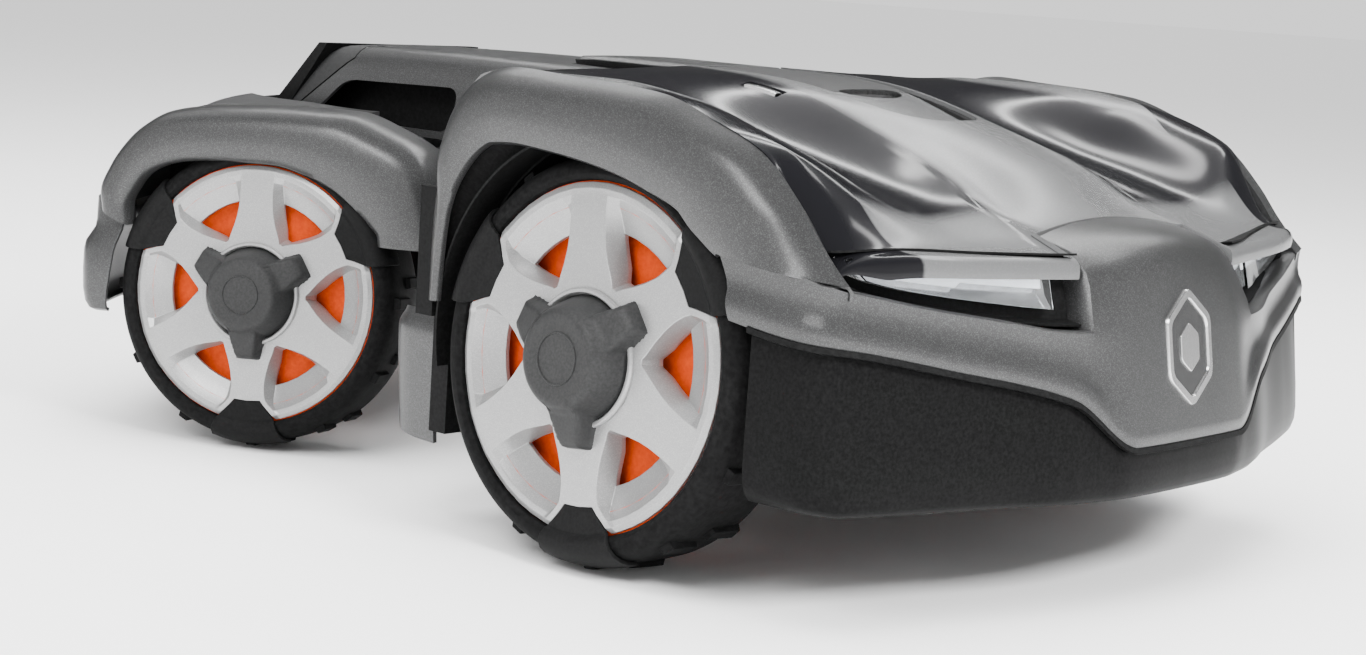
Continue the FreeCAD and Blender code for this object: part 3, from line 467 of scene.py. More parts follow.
def make(name, piece, unit, body, mat, bevel=0.0, sharp=32, segments=2, nodes=(), thick=0.0):
    """Turns (verts, faces) into an object that rides on a body and stands for CAD nodes."""
    verts, faces = piece
    mesh = bpy.data.meshes.new(name)
    mesh.from_pydata([v * MM for v in verts], [], faces)
    solid = bmesh.new()
    solid.from_mesh(mesh)
    bmesh.ops.remove_doubles(solid, verts=solid.verts, dist=0.00001)
    bmesh.ops.dissolve_degenerate(solid, edges=solid.edges, dist=0.00001)
    if thick:
        solid.normal_update()
        rim = [edge for edge in solid.edges if edge.is_boundary]
        inner = {vert: solid.verts.new(vert.co - vert.normal * thick * MM) for vert in list(solid.verts)}
        for face in list(solid.faces):
            solid.faces.new([inner[vert] for vert in reversed(face.verts)])
        for edge in rim:
            a, b = edge.verts
            solid.faces.new((a, b, inner[b], inner[a]))
    bmesh.ops.recalc_face_normals(solid, faces=solid.faces)
    solid.transform(unit)
    solid.to_mesh(mesh)
    solid.free()
    mesh.materials.append(mat)
    for polygon in mesh.polygons:
        polygon.use_smooth = True
    mesh.set_sharp_from_angle(angle=math.radians(sharp))
    item = bpy.data.objects.new(name, mesh)
    bpy.context.scene.collection.objects.link(item)
    if bevel:
        rounded(item, bevel, segments, sharp)
    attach(item, body)
    if nodes:
        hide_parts(*nodes)
    return item


def make_pair(name, piece, unit, body, mat, bevel=0.0, sharp=32, stands_for="", once=()):
    """A piece drawn on the right, and its mirror image. Each stands for its own side's CAD node,
    or the right one stands for a node that holds both sides."""
    for side_name, side in SIDES.items():
        nodes = [f"{stands_for}_{side_name}"] if stands_for else (once if side < 0 else ())
        make(f"{name}_{side_name}", mirror(piece, side), unit, body, mat, bevel, sharp, nodes=nodes)


# ---------------------------------------------------------------- wheels

CAP = 103.0  # the cap's radius; the cap's own tables give radii as shares of it
SIDEWALL = [(103.6, -5.0), (104.6, -1.2), (107.5, 1.2), (111.0, 1.0), (115.0, -1.6), (118.0, -6.0)]
SIDEWALL += [(119.6, -12.0), (120.2, -20.0)]


def polar(radius, degrees, z):
    """A point on the wheel, by its angle clockwise from the pattern's top as seen from outside."""
    turn = math.radians(degrees)
    return Vector((radius * math.sin(turn), radius * math.cos(turn), z))


def cap_point(radius, degrees, z):
    """A point on the cap, which is very slightly domed."""
    return polar(radius * CAP, degrees, z + 2.0 * (1 - radius))


ROWS = (0.385, 0.43, 0.455, 0.49, 0.56, 0.63, 0.695, 0.735, 0.80, 0.84, 0.885, 0.93, 0.965, 1.0)
SPOKE = ((0.385, 26.0), (0.43, 27.5), (0.455, 27.8), (0.49, 24.5), (0.56, 18.0), (0.63, 14.0), (0.695, 11.8))
SPOKE += ((0.735, 10.9), (0.80, 9.8), (0.84, 9.3), (0.885, 8.9), (0.93, 8.6), (0.965, 8.4), (1.0, 8.2))
NOTCHED = SPOKE[:8] + ((0.80, 10.4), (0.84, 10.6), (0.885, 12.2), (0.93, 14.0), (0.965, 15.4), (1.0, 16.4))
WINDOW = ((0.49, 27.6), (0.56, 22.2), (0.63, 18.0), (0.695, 15.6), (0.735, 15.0), (0.80, 14.0), (0.84, 13.6))
WINDOW += ((0.885, 13.2), (0.93, 14.2), (0.965, 15.0), (1.0, 15.6))
FLOOR = {0.49: -11.5, 0.56: -13.5, 0.63: -13.0, 0.695: -12.2, 0.735: -11.2, 0.80: -8.6, 0.84: -6.8}
FLOOR.update({0.885: -4.4, 0.93: -1.2, 0.965: -0.9, 1.0: -2.6})
RIM_TOP = {0.93: -0.3, 0.965: 0.0, 1.0: -2.2}


def cap_sector(notched):
    """Half a spoke and half a pocket: points by row and column from the spoke's middle to the pocket's."""
    edge = dict(NOTCHED if notched else SPOKE)
    foot = dict(WINDOW)
    grid = []
    for r in ROWS:
        top = RIM_TOP.get(r, 0.0)
        side = edge[r]
        row = []
        start = lerp(7.47, 14.15, max(0.0, (r - 0.84) / 0.16)) if notched and r > 0.79 else 0.7 * side
        row.append(cap_point(r, 0.0 if r < 0.85 or not notched else start, top))
        row.append(cap_point(r, start, top))
        row.append(cap_point(r, lerp(start, side, 0.6), top))
        row.append(cap_point(r, side, top))
        low = foot.get(r, side + 0.4 * (30 - side))
        depth = FLOOR.get(r, top)
        if notched and r > 0.84:
            low = max(low, side + 1.4)
        row.append(cap_point(r, low, depth))
        row.append(cap_point(r, lerp(low, 30, 0.5), depth))
        row.append(cap_point(r, 30, depth))
        grid.append(row)
    return grid


def cap_mesh():
    """The whole cap's face, with its windows left open."""
    verts, faces = [], []
    for sector in range(12):
        spoke = 60 * ((sector + 1) // 2)
        notched = spoke % 120 == 60
        flip = sector % 2 == 1
        start = len(verts)
        width = 7
        for row in cap_sector(notched):
            for p in row:
                turn = math.atan2(p.x, p.y)
                turn = math.radians(spoke) + (-turn if flip else turn)
                radius = math.hypot(p.x, p.y)
                verts.append(Vector((radius * math.sin(turn), radius * math.cos(turn), p.z)))
        for i in range(len(ROWS) - 1):
            for j in range(width - 1):
                in_window = 0.49 <= ROWS[i] < 0.73 and j >= 4
                in_notch = notched and ROWS[i] >= 0.84 and j < 1
                if in_window or in_notch:
                    continue
                a = start + i * width + j
                face = (a, a + 1, a + width + 1, a + width)
                faces.append(face if flip else tuple(reversed(face)))
    return verts, faces


def thickened(piece, depth):
    """An open surface seen from above Z, closed with a copy of itself lower down."""
    verts, faces = piece
    solid = bmesh.new()
    made = [solid.verts.new(v) for v in verts]
    for face in faces:
        solid.faces.new([made[k] for k in face])
    bmesh.ops.remove_doubles(solid, verts=solid.verts, dist=0.02)
    bmesh.ops.dissolve_degenerate(solid, edges=solid.edges, dist=0.02)
    bmesh.ops.recalc_face_normals(solid, faces=solid.faces)
    rim = [edge for edge in solid.edges if edge.is_boundary]
    top = list(solid.faces)
    copy = bmesh.ops.duplicate(solid, geom=list(solid.verts) + list(solid.edges) + top)
    twin = {a: b for a, b in copy["vert_map"].items() if isinstance(a, bmesh.types.BMVert)}
    for vert in {v for f in copy["geom"] if isinstance(f, bmesh.types.BMFace) for v in f.verts}:
        vert.co.z -= depth
    for edge in rim:
        a, b = edge.verts
        solid.faces.new((a, b, twin[b], twin[a]))
    bmesh.ops.recalc_face_normals(solid, faces=solid.faces)
    solid.verts.index_update()
    result = [v.co.copy() for v in solid.verts], [tuple(v.index for v in f.verts) for f in solid.faces]
    solid.free()
    return result


def wedge_mesh():
    """The three rubber inserts that fill the cap's notches and cross the tyre's side wall."""
    pieces = []
    line = [(0.850 * CAP, -6.0), (0.850 * CAP, -2.4), (0.90 * CAP, -2.0), (0.96 * CAP, -1.6), (CAP, -1.2)]
    line += [(105.0, 0.4), (108.0, 1.7), (111.5, 1.5), (115.4, -1.2), (118.4, -5.8), (120.0, -12.0)]
    line += [(120.5, -18.0)]
    widths = ((0.84, 7.0), (1.0, 13.5), (1.06, 14.6), (1.2, 15.6))
    for middle_angle in (60, 180, 300):
        rows = []
        for r, z in line:
            half = smooth(widths, r / CAP)
            rows.append([polar(r, middle_angle + half * k / 6, z) for k in range(-6, 7)])
        pieces.append(shell(rows, 2.5))
    return joined(*pieces)


def tyre_mesh():
    """A round-shouldered tyre with two staggered rows of block lugs."""
    back = [(r, -64.0 - z * 0.9) for r, z in reversed(SIDEWALL)]
    profile = SIDEWALL + [(120.6, -32.0)] + back + [(97.2, -62.0), (97.2, -8.2), (103.6, -8.2)]
    pieces = [spun(profile, 144)]
    for k in range(24):
        middle_angle = 15.0 * k + (7.5 if k % 2 else 0)
        outer = k % 2 == 0
        near, far = (-9.0, -34.0) if outer else (-30.0, -56.0)
        base, top = 117.0, 123.8
        half_base, half_top = 2.5, 1.9
        corners = []
        for radius, half, inset in ((base, half_base, 0.0), (top, half_top, 1.8)):
            for z, s in ((near, -1), (near, 1), (far, 1), (far, -1)):
                depth = z - inset if z == near else z + inset
                corners.append(polar(radius, middle_angle + s * half, depth))
        faces = [(0, 1, 2, 3), (4, 5, 6, 7), (0, 1, 5, 4), (1, 2, 6, 5), (2, 3, 7, 6), (3, 0, 4, 7)]
        pieces.append((corners, faces))
    return joined(*pieces)


def knob_mesh():
    """The hub cover: a flat-topped dome with three lobes to grip."""
    rings = 26
    around = 180
    rows = []
    dome = ((0, 22.0), (20, 22.6), (25.5, 22.8), (28, 21.8), (31, 17.0), (34.5, 8.0), (37, 1.0), (60, 0.5))
    crest = ((20, 17.0), (28, 16.4), (44, 12.6), (49, 10.6), (52, 7.0), (53.2, 1.0))
    for i in range(rings + 1):
        row = []
        for j in range(around):
            degrees = 360.0 * j / around
            away = min(abs((degrees - a + 180) % 360 - 180) for a in (60, 180, 300))
            half = math.degrees(math.atan2(12.5, 44.0))
            spread = ease(half + 9, half - 3, away)
            reach = lerp(37.4, 53.2 / max(math.cos(math.radians(away)), 0.9), spread)
            r = reach * (i / rings) ** 0.9
            sideways = r * math.sin(math.radians(away))
            forward = r * math.cos(math.radians(away))
            width = smooth(((20, 17.0), (36, 14.0), (53, 10.0)), forward)
            lobe = smooth(crest, forward) * ease(width + 0.6, width - 3.6, sideways)
            top = smooth(dome, r)
            row.append(polar(r, degrees, max(top, lobe) if i < rings else 0.0))
        rows.append(row)
    verts = [p for row in rows[1:] for p in row]
    faces = []
    for i in range(rings - 1):
        for j in range(around):
            a, b = i * around + j, i * around + (j + 1) % around
            faces.append((a, b, b + around, a + around))
    verts.append(Vector((0, 0, 22.0)))
    centre = len(verts) - 1
    faces += [(centre, (j + 1) % around, j) for j in range(around)]
    last = (rings - 1) * around
    base = len(verts)
    verts += [Vector((verts[last + j].x, verts[last + j].y, -3.5)) for j in range(around)]
    faces += [(last + j, last + (j + 1) % around, base + (j + 1) % around, base + j) for j in range(around)]
    faces.append(tuple(base + j for j in range(around)))
    return verts, faces


def scaled(piece, factor):
    """The piece at another size."""
    return [v * factor for v in piece[0]], piece[1]


cap = thickened(cap_mesh(), 3.2)
wedges = wedge_mesh()
tyre = tyre_mesh()
knob = knob_mesh()
collar = spun([(36.8, -3.0), (41.2, -3.0), (41.6, 2.6), (40.6, 4.0), (38.8, 4.0), (37.9, 3.0)], 96)
dimple = spun([(14.6, 21.5), (15.6, 21.5), (15.6, 23.2), (14.6, 23.2)], 64)

SPIN = {"front": math.radians(5.74), "rear": math.radians(1.36)}
UNITS = {"front": (FRONT, 1.0), "rear": (REAR, 0.87)}
hubs = {joint["child"]: joint for joint in frame["joints"] if joint["name"].startswith("wheel_")}
for unit_name, (unit, factor) in UNITS.items():
    for side_name, side in SIDES.items():
        corner = f"{unit_name}_{side_name}"
        body = f"wheel_{corner}"
        hub = Vector(hubs[body]["pos_m"])
        out = Vector(hubs[body]["axis"]) * side
        ahead = out.cross(Vector((0, 0, 1))).normalized()
        top = ahead.cross(out).normalized()
        across = top.cross(out).normalized()
        turn = Matrix((across, top, out)).transposed().to_4x4()
        place = Matrix.Translation(hub) @ turn @ Matrix.Rotation(SPIN[unit_name], 4, "Z")
        make(f"cap_{corner}", scaled(cap, factor), place, body, SILVER, 0.5, 13,
             nodes=[f"wheel_cap_{corner}"])
        make(f"tread_{corner}", scaled(tyre, factor), place, body, RUBBER, 0.6, 35,
             nodes=[f"tyre_{corner}"])
        make(f"insert_{corner}", scaled(wedges, factor), place, body, WEDGE, 0.5, 35)
        make(f"knob_{corner}", scaled(knob, factor), place, body, KNOB, 0.0, 60,
             nodes=[f"hub_knob_{corner}"])
        make(f"collar_{corner}", scaled(collar, factor), place, body, SILVER, 0.4, 35)
        make(f"dimple_{corner}", scaled(dimple, factor), place, body, KNOB, 0.3, 35)


# ---------------------------------------------------------------- hood

SPINE_TOP = ((-205, 217), (-182, 221), (-165, 227), (-144, 236), (-116, 251), (-88, 263), (-60, 272))
SPINE_TOP += ((-15, 282), (30, 288), (68, 291), (124, 292))
VALLEY = ((-205, 208), (-185, 213), (-160, 219), (-120, 230), (-60, 244), (0, 258), (60, 273), (125, 287))
CREST_TOP = ((-204, 208), (-183, 213), (-165, 226), (-142, 245), (-119, 259), (-86, 270), (-42, 282))
CREST_TOP += ((18, 288), (107, 287), (130, 283))
SEAM = ((-178, 190), (-168, 199), (-158, 209), (-142, 232), (-111, 259), (-65, 275), (-30, 282))
SEAM += ((16, 284), (68, 286), (90, 287), (112, 284), (127, 270))
LIP = ((0, -200), (84, -212), (120, -207), (150, -202), (180, -196), (205, -188), (225, -179), (238, -171))
LIP += ((246, -168), (250, -172))
LIP_TOP = ((84, 205), (150, 207), (205, 208.5), (225, 207), (238, 203), (250, 194))


def hood_height(x, y):
    """The height of the hood's outside."""
    x = abs(x)
    spine = smooth(SPINE_TOP, y)
    valley = min(spine, smooth(VALLEY, y))
    crest = smooth(CREST_TOP, y)
    edge = smooth(SEAM, y)
    crown = lerp(5.0, 9.0, ease(-190, -150, y)) - 7.0 * ease(-80, 40, y)
    wide = lerp(74, 56, ease(-185, -20, y))
    if x < wide:
        return spine - crown * (x / wide) ** 2
    top = spine - crown
    low = min(valley, top)
    if x < 140:
        t = (x - wide) / (140 - wide)
        return low + (top - low) * (1 - t) ** 1.9 * (1 + 1.1 * t)
    if x < 234:
        return lerp(low, crest, ease(136, 240, x) / ease(136, 240, 234))
    t = (x - 234) / 16
    return crest - (crest - edge) * (0.3 * t + 0.7 * t * t)


HOOD_HALF = 250.0
NOSE_HALF = 84.0
NOSE_FOOT = 92.0
NOSE_SEAM = ((0, -178), (30, -178.5), (55, -179.5), (70, -180.5), (84, -183))


def hood_rows():
    """The hood's outside, from its back to its rolled front edge."""
    rows = []
    columns = 161
    xs = [HOOD_HALF * math.sin(math.pi / 2 * (2 * j / (columns - 1) - 1)) for j in range(columns)]
    deep = 78
    for i in range(deep + 1):
        t = i / deep
        row = []
        for x in xs:
            end = smooth(NOSE_SEAM if abs(x) < NOSE_HALF else LIP, abs(x))
            y = lerp(126.0, end, t)
            z = hood_height(x, y)
            if abs(x) >= NOSE_HALF:
                rim = smooth(LIP_TOP, abs(x))
                z = lerp(z, rim, ease(0.80, 1.0, t) ** 1.6)
            row.append(Vector((x, y, z)))
        rows.append(row)
    return rows


base_rows = hood_rows()
roll = []
for ahead_by, down_by in ((2.2, 0.6), (4.2, 2.2), (5.6, 4.6), (6.0, 8.0), (5.8, 12.0)):
    row = []
    for p in base_rows[-1]:
        share = 1.0 if abs(p.x) >= NOSE_HALF else 0.0
        fade = lerp(1.0, 0.12, ease(222, HOOD_HALF, abs(p.x)))
        row.append(Vector((p.x, p.y - ahead_by * share * fade, p.z - down_by * lerp(0.35, fade, share))))
    roll.append(row)
hood_grid = base_rows + roll


def rim_line(points, shrink=0.0):
    """A half outline from the front middle to the back, made whole, and drawn in by shrink."""
    half = along([(x, y, 0) for x, y in points], 40)
    whole = [(-p.x, p.y) for p in reversed(half)] + [(p.x, p.y) for p in half[1:]]
    if not shrink:
        return whole
    result = []
    for k, (x, y) in enumerate(whole):
        before, after = whole[max(k - 1, 0)], whole[min(k + 1, len(whole) - 1)]
        dx, dy = after[0] - before[0], after[1] - before[1]
        size = math.hypot(dx, dy)
        result.append((x - dy / size * shrink, y + dx / size * shrink))
    return result


THROUGH = (200, 320)  # heights that clear the hood above and below
HATCH_EDGE = ((0, -66), (14, -64.5), (26, -59), (36, -47), (42, -28), (45.5, 5), (46.5, 60), (47, 119.6))
opening = rim_line(HATCH_EDGE)
# The hood shell's material carries painted dark reflections in its valleys.
hood = make("hood_shell", sheet(hood_grid), FRONT, "front_body", HOOD_PAINTED_REFLECTIONS,
            nodes=["hood"], thick=2.6)
trimmed(hood, slab(opening, *THROUGH), keep=False)
trimmed(hood, slab([(-47, 118), (47, 118), (47, 140), (-47, 140)], *THROUGH), keep=False)
contact_room = slab([(-81.4, 21), (-70.6, 21), (-70.6, 53), (-81.4, 53)], 262, 320)
for side in SIDES.values():
    trimmed(hood, mirror(contact_room, side), keep=False)
rounded(hood, 0.8, 2, 40)

lid_line = rim_line(HATCH_EDGE, 3.2)
SPLIT = 10.0  # where the lid's front and back parts meet


def lid_height(x, y):
    """The height of the lid's outside, which sinks below the hood towards the front."""
    return hood_height(x, y) - 1.0 - 6.0 * ease(40, -50, y)


def slot_point(k):
    """One of 48 points around the lens-shaped finger slot."""
    a = 2 * math.pi * k / 48
    return 31 * math.cos(a), 4 + 9.5 * math.sin(a) + 6 * math.cos(a) ** 2


lid_xs = [-50 + 100 * j / 60 for j in range(61)]
lid_ys = [130 - 200 * i / 110 for i in range(111)]
lid_grid = [[Vector((x, y, lid_height(x, y))) for x in lid_xs] for y in lid_ys]
slot_line = [slot_point(k) for k in range(48)]


def lid_part(name, mat, low_y, high_y, nodes=()):
    """The part of the hatch lid between two places along the machine."""
    piece = make(name, sheet(lid_grid), FRONT, "display_hatch", mat, nodes=nodes, thick=3.4)
    trimmed(piece, slab(lid_line, *THROUGH), keep=True)
    band = [(-60, low_y), (60, low_y), (60, high_y), (-60, high_y)]
    trimmed(piece, slab(band, *THROUGH), keep=True)
    trimmed(piece, slab(slot_line, *THROUGH), keep=False)
    rounded(piece, 0.7, 2, 40)


lining = [[Vector((x, y, hood_height(x, y) - drop)) for drop in (2.4, 9.0, 16.0)] for x, y in opening]
make("hatch_lining", shell(lining, 1.2), FRONT, "front_body", GLOSS, sharp=60)

lid_part("lid_front", HOOD, -80, SPLIT, ["display_hatch"])
lid_part("lid_back", PLATE, SPLIT + 0.3, 118.6)
pan_rows = []
for x, y in slot_line:
    height = lid_height(x, y)
    pan_rows.append([
        Vector((x, y, height - 0.6)),
        Vector((x, y, height - 5.0)),
        Vector((lerp(x, 0, 0.25), lerp(y, 6, 0.25), height - 9.0)),
        Vector((lerp(x, 0, 0.7), lerp(y, 6, 0.7), height - 10.0)),
        Vector((0, 6, hood_height(0, 6) - 13)),
    ])
make("finger_pan", sheet(pan_rows + [pan_rows[0]]), FRONT, "display_hatch", GLOSS, thick=1.0)


# ---------------------------------------------------------------- nose and bumper

PLAN = [(0, -252), (30, -251.6), (60, -250), (84, -245.5), (107, -240), (150, -224), (200, -208), (240, -194)]
PLAN += [(256, -186), (264, -174), (268, -160), (268.5, -140), (268.5, -113)]
LOW_EDGE = ((0, 96), (58, 96), (66, 98), (107, 126), (185, 144), (262, 158), (290, 160), (340, 167))
SLOT_EDGE = ((0, 164), (90, 164), (112, 165), (150, 171), (200, 179), (235, 186), (250, 189), (262, 191.5))
SLOT_EDGE += ((275, 195), (300, 198), (322, 201), (340, 201))
END_LINE = ((150, -112.5), (168, -109), (182, -106), (201, -99))
PLAN_STEPS = 110
plan_spots = [0.0]
for a, b in zip(PLAN, PLAN[1:]):
    plan_spots.append(plan_spots[-1] + math.hypot(b[0] - a[0], b[1] - a[1]))


def plan_place(reach):
    """The point on the bumper's plan line at a distance along it."""
    return Vector([smooth([(spot, p[k]) for spot, p in zip(plan_spots, PLAN)], reach) for k in (0, 1)])


def plan_point(step):
    """A point on the bumper's plan line and its outward direction, by steps from the middle to the end."""
    reach = step / PLAN_STEPS * plan_spots[-1]
    go = (plan_place(reach + 1.0) - plan_place(reach - 1.0)).normalized()
    return plan_place(reach), Vector((go.y, -go.x))


def bumper_out(here, out, z, push=0.0):
    """The bumper's face at a height: it leans back in front and stands almost upright at the sides."""
    lean = 0.17 * (z - 96) * abs(out.y) ** 1.5
    if here.y > -150:
        lean += (here.y + 150) / 37 * (smooth(END_LINE, z) + 112.5)
    tuck = 0.03 * (z - 96) * abs(out.x)
    return Vector((-(here.x + out.x * push - tuck), here.y + out.y * push + lean, z))


def run_level(edge, here):
    """A height line read at a plan point: by X in front, and along the side after that."""
    return smooth(edge, here.x if here.y < -176 else 262 + here.y + 176)


plan_points = [plan_point(step) for step in range(PLAN_STEPS + 1)]
face_rows = []
for here, out in plan_points:
    low, top = run_level(LOW_EDGE, here), run_level(SLOT_EDGE, here)
    column = [bumper_out(here, out, low + 2.5, -7.0), bumper_out(here, out, low + 0.4, -2.6),
              bumper_out(here, out, low + 0.4, -0.4), bumper_out(here, out, low + 2.2, 0.6)]
    away = ease(60, 96, here.x)
    for t in (0.10, 0.2, 0.32, 0.45, 0.6, 0.75, 0.88, 1.0):
        z = lerp(low + 2.2, top, t)
        ridge = 1.6 * math.exp(-((z - low - 11) / 6.0) ** 2) - 2.2 * math.sin(math.pi * t) * ease(0.1, 0.5, t)
        column.append(bumper_out(here, out, z, 0.6 * (1 - t) + away * ridge))
    face_rows.append(column)
bumper_sheet = turned_over(sheet(both_sides(face_rows)))

NOSE_MIDDLE = [(-240.4, 164), (-237.4, 180), (-235.4, 190), (-232.5, 200), (-228, 208), (-221, 213.6)]
NOSE_MIDDLE += [(-212, 217), (-200, 219.3), (-179, 221.6)]
NOSE_SIDE = [(-232.5, 164), (-229.5, 173), (-226, 181), (-222.5, 189), (-218.5, 196), (-213, 201.5)]
NOSE_SIDE += [(-205, 206.2), (-195, 209.4), (-184, 212.4)]
nose_rows = []
for foot in [column[-1] for column in face_rows if -column[-1].x <= NOSE_FOOT]:
    share = (min(NOSE_FOOT, -foot.x) / NOSE_FOOT) ** 2
    column = [foot]
    for a, b in zip(NOSE_MIDDLE[1:], NOSE_SIDE[1:]):
        y, z = lerp(a[0], b[0], share), lerp(a[1], b[1], share)
        shift = foot.y - lerp(NOSE_MIDDLE[0][0], NOSE_SIDE[0][0], share)
        narrow = lerp(1.0, NOSE_HALF / NOSE_FOOT, ease(164, 200, z))
        column.append(Vector((foot.x * narrow, y + shift * (1 - ease(-236, -214, y)), z)))
    nose_rows.append(column)
end = nose_rows[-1]
for step in ((-1.6, 2.6, -1.2), (-1.9, 9, -3.5), (-1.9, 22, -9)):
    nose_rows.append([p + Vector(step) for p in end])
nose_sheet = turned_over(sheet(both_sides(nose_rows)))

fold_rows = []
for (here, out), column in zip(plan_points, face_rows):
    top = column[-1]
    if -top.x < NOSE_FOOT - 3:
        continue
    inward = Vector((out.x, -out.y, 0)).normalized()
    depth = 1.0 - 0.85 * ease(-196, -172, here.y)
    fold_rows.append([top, top + inward * 2.2 + Vector((0, 0, 1.4 * depth)),
                      top + inward * (4 + 8 * depth) + Vector((0, 0, 0.6 * depth)),
                      top + inward * (6 + 14 * depth) + Vector((0, 0, 2.2 * depth - 1))])
folds = [mirror(turned_over(sheet(fold_rows)), side) for side in SIDES.values()]
make("nose_bumper", joined(bumper_sheet, nose_sheet, *folds), FRONT, "front_body", BODY,
     nodes=["nose_cover"], thick=2.4, sharp=38)


# ---------------------------------------------------------------- skirt and its seal

skirt_rows = []
seal_rows = []
for here, out in plan_points:
    if here.y > -126:
        here = Vector((here.x, -126.0))
    low = run_level(LOW_EDGE, here)
    skirt_rows.append([bumper_out(here, out, min(z, low + 9), push) for z, push in (
        (low + 9, -4.6), (low + 1, -4.2), (100, -3.6), (84, -4.2), (76, -5.4), (70, -8), (66, -12), (64, -20))])
    seal_rows.append([bumper_out(here, out, low + up, push) for up, push in (
        (1.2, -2.6), (1.2, 1.0), (-2.0, 1.2), (-2.6, -0.4), (-2.6, -2.8))])
make("skirt_shell", sheet(both_sides(skirt_rows)), FRONT, "front_body", SKIRT, nodes=["skirt"],
     thick=2.5, sharp=40)
make("seal", shell(both_sides(seal_rows), 0.8), FRONT, "front_body", FRAME, sharp=40)


# ---------------------------------------------------------------- headlights

LAMP_TOP = ((94, 203.0), (150, 204.0), (205, 206.0), (240, 204.5))
LAMP_LOW = ((94, 174.0), (110, 174.5), (150, 178.5), (200, 185.5), (228, 192.0), (240, 197.0))


def lamp_face(x, z, deep):
    """A point on the lamp's front, set back from the bumper's line."""
    y = smooth([(p[0], p[1]) for p in PLAN[:9]], x) + 0.17 * (z - 96)
    return Vector((-x, y + deep, z))


def lamp_rows(count, start, end, drop, rise, column):
    """A lamp part's rows between two places across the nose, from its low and high edges there."""
    rows = []
    for k in range(count):
        x = lerp(start, end, k / (count - 1))
        rows.append(column(x, smooth(LAMP_LOW, x) - drop, smooth(LAMP_TOP, x) + rise))
    return rows


def cup_column(x, low, top):
    """The black housing, from its lower edge around its back to its upper edge."""
    return [lamp_face(x, z, deep) for z, deep in (
        (low - 2.0, 8.0), (low, 19.0), (lerp(low, top, 0.5), 22.0), (top, 20.0), (top + 2.0, 10.0))]


def lens_column(x, low, top):
    """The clear cover, which narrows to a point at its outer end."""
    low = lerp(lerp(low, top, 0.08), top - 3.0, ease(228, 238, x))
    return [lamp_face(x, lerp(low, top, t), 9.0 + 2.5 * t) for t in (0, 0.12, 0.5, 0.88, 1)]


def reflector_column(x, low, top):
    """The bright dish behind the light strip."""
    low = lerp(low, top, 0.07)
    return [lamp_face(x, lerp(low, top, t), deep) for t, deep in (
        (0, 12.5), (0.25, 16.5), (0.6, 18.0), (1, 16.5))]


def strip_column(x, low, top):
    """The light strip, with one step in its lower edge."""
    step = 0.46 if x < 168 else 0.33
    return [lamp_face(x, lerp(low, top, t), 12.5 + 1.6 * t) for t in (step, step + 0.2, 0.74, 0.94)]


dish = lamp_rows(33, 108.0, 240.0, 0, 1.0, reflector_column)
make_pair("lamp_reflector", turned_over(shell(dish, 0.8)), FRONT, "front_body", LAMP_BACK)
cup = lamp_rows(41, 88.0, 246.0, 5.0, 3.0, cup_column)
make_pair("lamp_cup", turned_over(shell(cup, 1.2)), FRONT, "front_body", FRAME, sharp=50,
          stands_for="headlight")
bar = lamp_rows(33, 114.0, 232.0, 0, 0, strip_column)
make_pair("lamp_bar", turned_over(shell(bar, 1.6)), FRONT, "front_body", GLOW, 0.5)
cover_glass = lamp_rows(41, 110.0, 238.0, 0, 0, lens_column)
make_pair("lamp_lens", turned_over(shell(cover_glass, 1.8)), FRONT, "front_body", LENS, 0.5)


# ---------------------------------------------------------------- front fenders

HUB_HEIGHT = 126.7
STATIONS = [((-99.5, 201.6), (-178, 190.6)), ((-95, 204), (-168, 199.5)), ((-89, 208), (-157, 211))]
STATIONS += [((-80, 214), (-142, 229)), ((-68, 224), (-111, 256)), ((-45, 232), (-75, 270))]
STATIONS += [((-20, 239), (-35, 281.5)), ((10, 244), (5, 284.5)), ((40, 247), (45, 286))]
STATIONS += [((65, 248.5), (80, 287.5)), ((85, 247), (104, 284)), ((98, 240), (118, 271))]
STATIONS += [((110, 228), (127, 249)), ((119, 214), (131.5, 222)), ((125, 196), (134, 198))]
STATIONS += [((128, 170), (135, 171)), ((129.5, 143), (135, 143))]
WIDE = ((0, 266.0), (0.12, 268.0), (0.35, 268.6), (0.6, 267.0), (0.8, 261.5), (0.92, 254.5), (1.0, 249.5))
arch_line = along([(0, *a) for a, _ in STATIONS], 90)
seam_line = along([(0, *b) for _, b in STATIONS], 90)


def arch_outward(k):
    """The direction away from the wheel at a place on the fender's arch."""
    go = heading(arch_line, k)
    return Vector((0, -go.z, go.y))


fender_rows = []
for k, (a, b) in enumerate(zip(arch_line, seam_line)):
    side_on = arch_outward(k)
    row = []
    for inset, wide in ((-1.2, 263.4), (-1.5, 264.8), (-0.9, 265.9)):
        row.append(Vector((-wide, a.y + side_on.y * inset, a.z + side_on.z * inset)))
    tall = (b - a).length
    leg = ease(215, 190, a.z) * (1.0 if a.y > 0 else 0.0)
    for u in (0, 0.12, 0.25, 0.4, 0.55, 0.7, 0.8, 0.88, 0.94, 1.0):
        swell = 0.10 * tall * math.sin(math.pi * u) * (1 - leg) * ease(0, 9, k)
        p = a.lerp(b, u) + side_on * swell
        row.append(Vector((-lerp(smooth(WIDE, u), 267 - 5 * u, leg), p.y, p.z)))
    p = row[-1]
    row.append(Vector((p.x + 2.4, p.y, p.z - 2.6)))
    row.append(Vector((p.x + 2.6, p.y, p.z - 7.0)))
    fender_rows.append(row)
make_pair("fender_shell_front", shell(fender_rows, 2.2), FRONT, "front_body", BODY, sharp=38,
          stands_for="fender_front")


# ---------------------------------------------------------------- wheel wells

